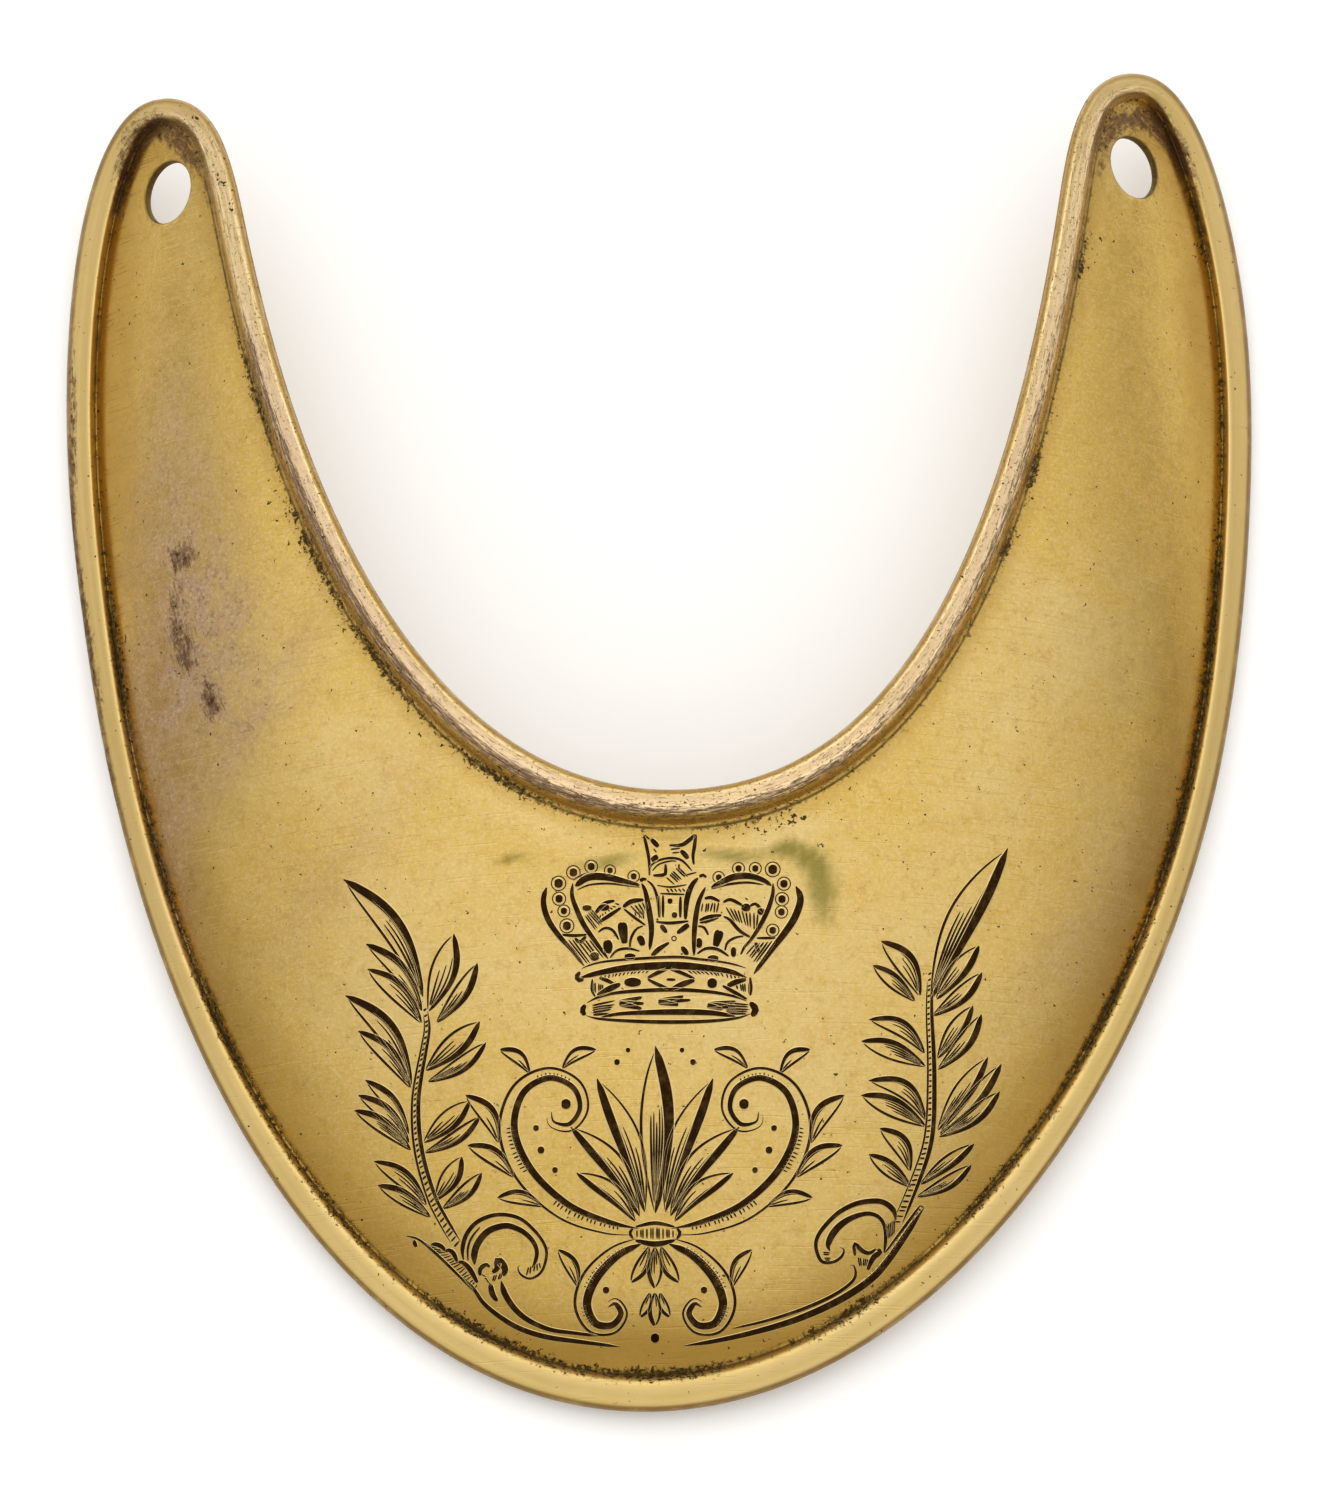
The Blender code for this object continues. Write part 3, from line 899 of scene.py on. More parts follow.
# mm from the rim's foot, in the front view from the edge, or along the edge from a horn's top
reaches = {
    "onRim": (0.05, -0.20),
    "outerRimShade": (8.5, -0.3),
    "nearRimShade": (2.2, -0.2),
    "amberLine": (0.7, 0.1),
    "amberLineFrom": 0.9,
    "amberLineTip": (15.0, 60.0),
    "slopeTip": (12.0, 50.0),
    "dirtTip": (3.0, 14.0),
    "wall": (0.66, 0.28),
    "creaseFrom": 0.04,
    "outerCrease": 0.36,
    "neckCrease": 0.21,
    "strewn": 1.2,
    "strewnEnd": (1.4, 0.9),
}
# shares across the rim's section, 0 at the edge and 1 at the foot
rimZones = {
    "topEnd": (0.71, 0.63),
    "outerTopLonger": 0.24,
    "wornFrom": (0.10, 0.30),
    "hairlines": 0.59,
    "hairReach": (0.24, 0.05),
}
# over the whole sheet, for mottle, patches and grain: where in the noise it starts and is full, how
# strongly it covers, and its colour
mottling = (
    (0.50, 0.70, 0.60, "orange"),
    (0.48, 0.72, 0.34, "amber"),
    (0.42, 0.68, 0.34, "brightStraw"),
)
# added to the roughness
duller = {"pink": 0.16, "dirtAndBoreShade": 0.35, "worn": 0.12, "tarnish": 0.25, "outerRim": 0.18}
# scale for a metre, detail, roughness, distortion
grains = {
    "broad": (60.0, 5.0, 0.6, 0.4),
    "mottle": (380.0, 6.0, 0.68, 0.2),
    "patches": (1000.0, 5.0, 0.7),
    "grain": (3200.0, 3.0, 0.7),
    "fineMottle": (1300.0, 8.0, 0.8),
    "torn": (1100.0, 8.0, 0.85, 0.4),
    "clumps": (620.0, 6.0, 0.75),
    "strewn": (2100.0, 8.0, 0.82),
    "dots": (1700.0, 3.0, 0.6),
    "fineDots": (4300.0, 3.0, 0.7),
    "swell": (140.0, 3.0, 0.5),
}
# scale for a mm along and across the edge, detail, roughness, distortion
edgeGrains = {
    "rubbedHighlight": (0.05, 1.6, 4.0, 0.6),
    "streaks": (0.30, 6.0, 6.0, 0.72),
    "hairs": (0.70, 10.0, 6.0, 0.85),
    "ragged": (0.55, 1.9, 8.0, 0.82, 0.3),
    "edgePatches": (0.10, 0.3, 3.0, 0.6),
}
# turn, scale for a metre along and across, threshold
scratchSets = (
    (0.9, 90.0, 4200.0, 0.66),
    (-0.6, 120.0, 5200.0, 0.67),
    (2.0, 70.0, 3600.0, 0.67),
    (1.35, 150.0, 6000.0, 0.67),
)
# depths of the relief in metres
relief = {
    "swell": 0.00007,
    "patches": 0.000008,
    "grain": 0.000003,
    "scratches": 0.000008,
    "pits": 0.00003,
    "hairlines": 0.00002,
}


def scratches(tree, coords, turn, length, width, threshold):
    # Noise drawn out along one direction, cut off high up so that only short thin lines are left.
    lines = noise(tree, mapped(tree, coords, (length, width, length), (0.0, 0.0, turn)), 1.0, 2.0, 0.5)
    return remap(tree, lines, threshold, threshold + 0.05)


def edgeNoise(tree, edgeWay, name):
    along, across, *rest = edgeGrains[name]
    return noise(tree, mapped(tree, edgeWay, (along, along, across)), 1.0, *rest)


def giltMaterial():
    material, tree, shader = emptyMaterial("gilt_copper")
    coords = tree.nodes.new("ShaderNodeTexCoord").outputs["Object"]
    junction = attribute(tree, "junction")
    rimShare = attribute(tree, "rimShare")
    fromTip = attribute(tree, "fromTip")
    neck = attribute(tree, "neck")
    bare = attribute(tree, "bare")
    edgeWay = attribute(tree, "edgeWay", "Vector")
    outer = inverse(tree, neck)
    onRim = remap(tree, junction, *reaches["onRim"])
    neckOnRim = times(tree, onRim, neck)
    outerOnRim = times(tree, onRim, outer)
    broad, mottle, patches, grain, fineMottle, clumps = (
        noise(tree, coords, *grains[name])
        for name in ("broad", "mottle", "patches", "grain", "fineMottle", "clumps")
    )

    # paler in the middle, beside the throat and on the shoulders, a painted highlight, with broad uneven
    # tone, orange mottling and a fine uneven grain
    highlightAndTone = calc(tree, "ADD", attribute(tree, "paintedHighlight"), remap(tree, broad, 0.3, 0.7, -0.35, 0.35), True)
    colour = mixed(tree, highlightAndTone, gilding["gold"], gilding["paleGold"])

    def covered(share, name):
        return mixed(tree, share, colour, gilding[name])

    for pattern, (start, full, share, name) in zip((mottle, patches, grain), mottling):
        colour = covered(remap(tree, pattern, start, full, 0.0, share), name)

    # painted shade: darker towards the rim, where the sheet turns up into it, a wide band on the outer
    # side and a narrow one on the neck side, with an amber line just off the outer rim's foot
    outerRimShade = times(tree, remap(tree, junction, *reaches["outerRimShade"]), outer, cover["outerRimShade"])
    nearRimShade = times(tree, remap(tree, junction, *reaches["nearRimShade"]), cover["nearRimShade"])
    amberLine = remap(tree, apart(tree, junction, reaches["amberLineFrom"]), *reaches["amberLine"])
    towardsTip = remap(tree, fromTip, *reaches["amberLineTip"], 0.2, 1.0)
    amberLine = times(tree, amberLine, outer, cover["amberLine"], towardsTip)
    fade = most(tree, outerRimShade, nearRimShade, amberLine)
    colour = covered(times(tree, fade, remap(tree, broad, 0.2, 0.7, 0.65, 1.0)), "amber")
    # painted shade, dusky and brownish, down the outer sides, along the bottom and round the horn tips
    deep = times(tree, attribute(tree, "deep"), remap(tree, broad, 0.2, 0.7, 0.5, 0.8))
    colour = covered(deep, "amber")

    # the rim: a straw-coloured top, a painted highlight, and towards the plate an ochre wall on the neck
    # side and a browner slope on the outer side, painted shade where they face away from the light
    topLonger = remap(tree, neck, 0.0, 1.0, rimZones["outerTopLonger"], 0.0)
    across = calc(tree, "SUBTRACT", rimShare, topLonger)
    topEnd, topStart = rimZones["topEnd"]
    top = times(tree, onRim, remap(tree, across, topEnd, topStart))
    straw = mixed(tree, neck, gilding["dullStraw"], gilding["straw"])
    colour = mixed(tree, times(tree, top, cover["rimTop"]), colour, straw)
    # painted highlight: paler streaks along the rim's top, where it is rubbed
    rubbedHighlight = times(tree, top, remap(tree, edgeNoise(tree, edgeWay, "rubbedHighlight"), 0.40, 0.62))
    colour = covered(times(tree, rubbedHighlight, remap(tree, neck, 0.0, 1.0, 0.15, 0.85)), "brightStraw")
    inside = times(tree, onRim, remap(tree, across, topStart, topEnd))
    colour = covered(times(tree, inside, neck, cover["neckWall"]), "ochre")
    colour = covered(times(tree, inside, neck, bare, cover["wornWall"]), "umber")
    colour = covered(times(tree, inside, outer, cover["outerSlope"]), "dullStraw")
    # painted shade: umber down the outer rim's slope towards the plate, less of it towards the horn tops
    slope = remap(tree, fromTip, *reaches["slopeTip"], 0.10, 0.40)
    slope = times(tree, inside, outer, remap(tree, broad, 0.3, 0.6, 0.6, 1.0), slope)
    colour = covered(slope, "umber")

    # the neck rim is worn through to copper, with brown hairlines along it towards the plate
    streaks = remap(tree, edgeNoise(tree, edgeWay, "streaks"), 0.38, 0.58, 0.35, 1.0)
    worn = times(tree, top, neck, remap(tree, rimShare, *rimZones["wornFrom"]), streaks)
    worn = times(tree, worn, calc(tree, "ADD", bare, 0.15, True))
    colour = covered(times(tree, worn, cover["copper"]), "copper")
    nearLine = remap(tree, apart(tree, rimShare, rimZones["hairlines"]), *rimZones["hairReach"])
    nearLine = times(tree, nearLine, calc(tree, "ADD", bare, 0.20, True), 0.15)
    hairs = calc(tree, "ADD", edgeNoise(tree, edgeWay, "hairs"), nearLine)
    lined = times(tree, neckOnRim, remap(tree, hairs, 0.580, 0.610))
    colour = covered(times(tree, lined, cover["hairlines"]), "brown")

    # painted shade on the steep wall at the very edge: umber on the outer side, amber on the neck side
    wall = remap(tree, attribute(tree, "fromEdge"), *reaches["wall"])
    wall = times(tree, onRim, wall, remap(tree, mottle, 0.25, 0.55, 0.6, 0.9))
    colour = covered(times(tree, wall, outer), "umber")
    colour = covered(times(tree, wall, neck), "amber")

    # stains, broken up by noise, and olive painted reflections beside the throat
    blotches = remap(tree, mottle, 0.35, 0.60, 0.45, 1.0)
    pink = calc(tree, "MULTIPLY", attribute(tree, "purple"), blotches, True)
    pink = times(tree, pink, remap(tree, onRim, 0.0, 1.0, 1.0, 0.35))
    colour = covered(times(tree, pink, cover["pink"]), "pink")
    colour = covered(times(tree, pink, remap(tree, fineMottle, 0.48, 0.64), cover["pinkMottle"]), "brown")
    colour = covered(times(tree, pink, remap(tree, grain, 0.50, 0.64), cover["pinkGrain"]), "brightStraw")
    # painted dark reflections: olive streaks beside the throat
    darkReflectionSpots = attribute(tree, "oliveReflection")
    ripple = times(tree, calc(tree, "SUBTRACT", mottle, 0.5), 0.9)
    oliveReflection = remap(tree, calc(tree, "ADD", darkReflectionSpots, ripple), 0.15, 1.05)
    colour = covered(times(tree, oliveReflection, remap(tree, darkReflectionSpots, 0.03, 0.35), cover["oliveReflection"]), "oliveReflection")
    marks = attribute(tree, "tarnish")
    torn = noise(tree, coords, *grains["torn"])
    ragged = calc(tree, "ADD", edgeNoise(tree, edgeWay, "ragged"), torn)
    ragged = times(tree, calc(tree, "SUBTRACT", ragged, 1.0), 2.8)
    tarnish = remap(tree, calc(tree, "ADD", marks, ragged), 0.35, 1.10)
    tarnish = times(tree, tarnish, remap(tree, marks, 0.08, 0.35))
    colour = covered(times(tree, tarnish, cover["tarnish"]), "brown")

    # black-green dirt packed in the crease, in patches on the outer side, and strewn beside it, and
    # painted shade, nearly black, on the walls of the lace holes
    pitted = attribute(tree, "pitted")
    edgePatches = remap(tree, edgeNoise(tree, edgeWay, "edgePatches"), 0.46, 0.64)
    amount = calc(tree, "ADD", 0.24, times(tree, edgePatches, 0.6), True)
    amount = most(tree, amount, times(tree, neck, 0.75), pitted)
    amount = times(tree, amount, remap(tree, fromTip, *reaches["dirtTip"]))
    reachOut = apart(tree, junction, reaches["creaseFrom"])
    creaseWidth = remap(tree, neck, 0.0, 1.0, reaches["outerCrease"], reaches["neckCrease"])
    inCrease = remap(tree, calc(tree, "DIVIDE", reachOut, creaseWidth), 1.0, 0.1)
    inCrease = times(tree, inCrease, remap(tree, clumps, 0.30, 0.52, 0.35, 1.0), amount)
    strewn = noise(tree, coords, *grains["strewn"])
    strewn = calc(tree, "ADD", strewn, remap(tree, reachOut, reaches["strewn"], 0.0, 0.0, 0.17))
    strewn = calc(tree, "ADD", strewn, times(tree, pitted, 0.11))
    strewn = times(tree, remap(tree, strewn, 0.70, 0.75), remap(tree, reachOut, *reaches["strewnEnd"]))
    dots = times(tree, pitted, inverse(tree, outerOnRim), 0.12)
    dots = remap(tree, calc(tree, "ADD", noise(tree, coords, *grains["dots"]), dots), 0.685, 0.725)
    fineDots = calc(tree, "ADD", noise(tree, coords, *grains["fineDots"]), times(tree, neckOnRim, 0.10))
    specks = most(tree, dots, remap(tree, fineDots, 0.72, 0.76))
    # painted shade: the walls of the lace holes, nearly black
    boreShade = times(tree, attribute(tree, "bore"), remap(tree, clumps, 0.3, 0.7, 1.0, 0.75))
    marked = times(tree, tarnish, remap(tree, fineMottle, 0.52, 0.62), 0.8)
    dirtAndBoreShade = most(tree, inCrease, strewn, specks, boreShade, marked)
    colour = covered(times(tree, dirtAndBoreShade, cover["dirtAndBoreShade"]), "dirtAndBoreShade")

    plug(tree, shader.inputs["Base Color"], colour)
    metallic = remap(tree, dirtAndBoreShade, 0.3, 1.0, 1.0, gilding["dirtMetallic"])
    plug(tree, shader.inputs["Metallic"], metallic)
    plug(tree, shader.inputs["Specular IOR Level"], gilding["specular"])
    rough = calc(tree, "ADD", gilding["roughness"], remap(tree, mottle, 0.3, 0.7, -0.04, 0.07))
    for mask, share in zip((pink, dirtAndBoreShade, worn, tarnish, outerOnRim), duller.values()):
        rough = calc(tree, "ADD", rough, times(tree, mask, share))
    plug(tree, shader.inputs["Roughness"], rough)

    lines = most(tree, *(scratches(tree, coords, *row) for row in scratchSets))
    pits = most(tree, specks, times(tree, dirtAndBoreShade, 0.5))
    normal = bumped(tree, noise(tree, coords, *grains["swell"]), relief["swell"])
    normal = bumped(tree, patches, relief["patches"], normal)
    normal = bumped(tree, grain, relief["grain"], normal)
    for sunk, name in ((lines, "scratches"), (pits, "pits"), (lined, "hairlines")):
        normal = bumped(tree, inverse(tree, sunk), relief[name], normal)
    plug(tree, shader.inputs["Normal"], normal)
    return material


plateObject = newObject(
    "gilt_plate", toWorld(uprightVertices), plateQuads.tolist() + plateTriangles.tolist()
)
turnFacesOut(plateObject.data)
cutHoles(plateObject)
addSheetAttributes(plateObject.data)
plateObject.data.shade_smooth()
plateObject.data.materials.clear()
plateObject.data.materials.append(giltMaterial())
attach(plateObject, "root")
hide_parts("gorget_plate")
print("plate:", len(plateObject.data.polygons), "faces")

# Cut ornament

graver = {
    "step": 2.6,  # pixels of path between two sections of a cut
    "fineStep": 4.0,  # the same for hatching
    "boldness": 1.14,
    "unevenness": 0.12,  # share by which the hand's pressure varies from cut to cut
    "runOut": 0.08,  # share of a cut's length over which each end runs out, and its power
    "runOutPower": 0.7,
    "least": 0.02,  # half width in pixels
    "shallow": 0.6,  # cuts with a smaller half width lose height
    "seed": 11,
}
# the edges of a leaf and of a band: half width, more for each pixel of length, widest share
leafCuts = {
    "deep": (1.2, 0.020, 0.70),
    "fine": (1.15, 0.0, 0.5),
    "hatching": (0.62, 0.003, 0.35),
    "fan": (-0.30, 0.55),  # of the hatching, as shares of the half breadth
    "fanEnd": (0.46, 0.25, 0.16),  # share of the leaf it reaches, more across the fan, and by chance
    "point": 1.03,  # the deep edge runs a little past the tip
}
bandCuts = {
    "deep": (3.4, 0.42),
    "fine": (1.4, 0.5),
    "rung": 0.8,
    "rungReach": 0.65,  # share of the band's width
}
stemCuts = {
    "fine": (1.0, 0.5),
    "deep": (2.1, 0.48),
    "rung": 0.95,
    "slant": (1.0, 2.0),
    "thinning": (1.0, 0.50),
}
# across: share of a cut's half width; rise: mm above the sheet; dark: how far the grime fills it.
# The graver throws up a burr on both sides of a V.
cutSection = np.array(
    (
        (-1.34, -0.010, 0.0),
        (-1.12, 0.016, 0.0),
        (-0.92, 0.010, 1.0),
        (0.00, 0.004, 1.0),
        (0.92, 0.010, 1.0),
        (1.12, 0.016, 0.0),
        (1.34, -0.010, 0.0),
    )
)
handPressure = np.random.default_rng(graver["seed"])


def evenPath(points, step):
    # A smooth curve through the points, read at even steps of its length.
    points = np.array(points, float)
    fine = curveThrough(points, 12) if len(points) > 2 else points
    length = np.concatenate([[0.0], np.cumsum(np.linalg.norm(np.diff(fine[:, :2], axis=0), axis=1))])
    at = np.linspace(0.0, length[-1], max(5, int(length[-1] / step) + 1))
    return np.column_stack([np.interp(at, length, fine[:, k]) for k in range(fine.shape[1])])


def cut(half, swell, points, step=None):
    # One stroke: its half width is half * (0.5 + 0.5 sin(pi t^p)), widest at the share swell of its
    # length, and runs out at both ends.
    path = evenPath(points, step or graver["step"])
    t = np.linspace(0.0, 1.0, len(path))
    power = math.log(0.5) / math.log(swell)
    runOut = np.clip(np.minimum(t, 1.0 - t) / graver["runOut"], 0.0, 1.0) ** graver["runOutPower"]
    pressure = graver["boldness"] * (1.0 + graver["unevenness"] * handPressure.uniform(-1.0, 1.0))
    width = half * pressure * (0.5 + 0.5 * np.sin(math.pi * t**power)) * runOut
    return np.column_stack([path, np.maximum(width, graver["least"])])


def dot(x, y, radius, height=None):
    # A punched mark: half width height * sqrt(1 - s^2) along its middle line.
    s = np.linspace(-1.0, 1.0, 13)
    width = (height or radius) * np.sqrt(np.clip(1.0 - s**2, 0.0, 1.0))
    return np.column_stack([x + radius * s, np.full(len(s), float(y)), np.maximum(width, graver["least"])])


def ring(x, y, radius, half):
    turn = np.linspace(0.0, 2 * math.pi, 25)
    circle = np.column_stack([x + radius * np.cos(turn), y + radius * np.sin(turn)])
    return np.column_stack([circle, np.full(len(turn), half)])


def hatch(first, second, count, half):
    # Short strokes that join evenly spaced places of two lines.
    shares = (np.arange(count) + 0.5) / count
    first, second = evenPath(first, 2.0), evenPath(second, 2.0)
    strokes = []
    for share in shares:
        start, end = (line[min(int(share * len(line)), len(line) - 1), :2] for line in (first, second))
        short = handPressure.uniform(0.0, 0.12)
        strokes.append(cut(half, 0.4, (start, end + short * (start - end)), graver["fineStep"]))
    return strokes


def mirrored(strokes, axis):
    return [np.column_stack([2 * axis - stroke[:, 0], stroke[:, 1:]]) for stroke in strokes]


def leaf(base, tip, bow, broad, hatches):
    # Middle line base + t d + bow |d| sin(pi t) side, half breadth broad |d| sin(pi t^1.15)^0.85. The
    # edge on the side to the right of base to tip is cut deep, the other one fine, and the hatching
    # fans out of the base.
    base, tip = np.array(base, float), np.array(tip, float)
    ahead = tip - base
    length = math.hypot(*ahead)
    side = np.array([-ahead[1], ahead[0]]) / length

    def place(t, offset):
        t = np.asarray(t, float)[:, None]
        breadth = broad * length * np.sin(math.pi * np.clip(t, 0.0, 1.0) ** 1.15).clip(0.0) ** 0.85
        return base + t * ahead + (bow * length * np.sin(math.pi * t) + offset * breadth) * side

    def drawn(name, points, step=None):
        half, more, swell = leafCuts[name]
        return cut(half + more * length, swell, points, step)

    strokes = [
        drawn("deep", place(np.linspace(0.0, leafCuts["point"], 9), 1.0)),
        drawn("fine", place(np.linspace(0.0, 1.0, 9), -1.0)),
    ]
    fanStart, fanStop = leafCuts["fan"]
    reach, more, chance = leafCuts["fanEnd"]
    for offset in np.linspace(fanStart, fanStop, hatches):
        end = reach + more * (offset - fanStart) + chance * handPressure.uniform()
        points = place(np.linspace(0.06, end, 5), offset)
        strokes.append(drawn("hatching", points, graver["fineStep"]))
    return strokes


def stem(points, half, rungs):
    # Two lines beside a path, the right one deep, joined by slanting rungs.
    path = evenPath(points, 3.0)
    ahead = unit(np.gradient(path, axis=0))
    side = np.column_stack([-ahead[:, 1], ahead[:, 0]])
    fade = np.linspace(*stemCuts["thinning"], len(path))[:, None] * half
    left, right = path - side * fade, path + side * fade
    strokes = [cut(*stemCuts["fine"], left), cut(*stemCuts["deep"], right)]
    back, on = stemCuts["slant"]
    return strokes + hatch(left - ahead * back, right + ahead * on, rungs, stemCuts["rung"])


def scroll(points, deepOutside, ladder):
    # A band that follows a path whose third column is its half width: one edge deep, one fine, and
    # rungs across between two shares of its length.
    path = evenPath(points, 2.6)
    ahead = unit(np.gradient(path[:, :2], axis=0))
    side = np.column_stack([-ahead[:, 1], ahead[:, 0]])
    left, right = path[:, :2] - side * path[:, 2:], path[:, :2] + side * path[:, 2:]
    deep, fine = (left, right) if deepOutside else (right, left)
    strokes = [cut(*bandCuts["deep"], deep), cut(*bandCuts["fine"], fine)]
    reach = bandCuts["rungReach"]
    across = (1.0 - reach) * deep + reach * fine
    for start, end, rungs in ladder:
        low, high = int(start * len(path)), int(end * len(path))
        strokes += hatch(deep[low:high], across[low:high], rungs, bandCuts["rung"])
    return strokes


def cutMesh(name, strokes, material):
    # Each stroke's section is carried along it: place = path + across * half width * side, on the
    # sheet, raised along the sheet's normal.
    plans, rises, darks, faces, start = [], [], [], [], 0
    across = len(cutSection)
    for stroke in strokes:
        ahead = unit(np.gradient(stroke[:, :2], axis=0) + 1e-9)
        side = np.column_stack([-ahead[:, 1], ahead[:, 0]])
        offset = (stroke[:, 2:3] * cutSection[:, 0])[..., None] * side[:, None, :]
        plans.append((stroke[:, None, :2] + offset).reshape(-1, 2))
        share = np.clip(stroke[:, 2:3] / graver["shallow"], 0.0, 1.0)
        rises.append((cutSection[:, 1] * share + cutSection[0, 1] * (1.0 - share)).ravel())
        darks.append(np.broadcast_to(cutSection[:, 2], (len(stroke), across)).ravel())
        index = start + np.arange(len(stroke) * across).reshape(len(stroke), across)
        quads = np.stack([index[:-1, :-1], index[:-1, 1:], index[1:, 1:], index[1:, :-1]], axis=-1)
        faces.append(quads.reshape(-1, 4))
        start += len(stroke) * across
    plan = fromPicture(np.vstack(plans))
    points = frontPoint(plan) + np.concatenate(rises)[:, None] * frontNormal(plan)
    made = newObject(name, toWorld(points), np.vstack(faces).tolist())
    addAttribute(made.data, "grime", np.concatenate(darks))
    made.data.shade_smooth()
    made.data.materials.append(material)
    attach(made, "root")
    print(name, "strokes:", len(strokes), "faces:", len(made.data.polygons))


cutFinish = {
    "grime": (0.024, 0.011, 0.003, 1.0),
    "brown": (0.080, 0.044, 0.014, 1.0),
    "burr": (0.70, 0.53, 0.24, 1.0),
    "fill": (900.0, 4.0, 0.7),  # scale for a metre, detail, roughness of its noise
    "fillDepth": 0.00002,
    "roughness": (0.22, 0.55),  # of the burr and of the grime
    "metallic": (1.0, 0.6),
}


def cutMaterial():
    material, tree, shader = emptyMaterial("cut_gilt_copper")
    coords = tree.nodes.new("ShaderNodeTexCoord").outputs["Object"]
    grime = attribute(tree, "grime")
    fill = noise(tree, coords, *cutFinish["fill"])
    dark = mixed(tree, remap(tree, fill, 0.45, 0.75), cutFinish["grime"], cutFinish["brown"])
    edgeOfGrime = remap(tree, grime, 0.15, 0.75)
    plug(tree, shader.inputs["Base Color"], mixed(tree, edgeOfGrime, cutFinish["burr"], dark))
    for name in ("metallic", "roughness"):
        value = remap(tree, edgeOfGrime, 0.0, 1.0, *cutFinish[name])
        plug(tree, shader.inputs[name.capitalize()], value)
    plug(tree, shader.inputs["Specular IOR Level"], 0.0)
    plug(tree, shader.inputs["Normal"], bumped(tree, fill, cutFinish["fillDepth"]))
    return material


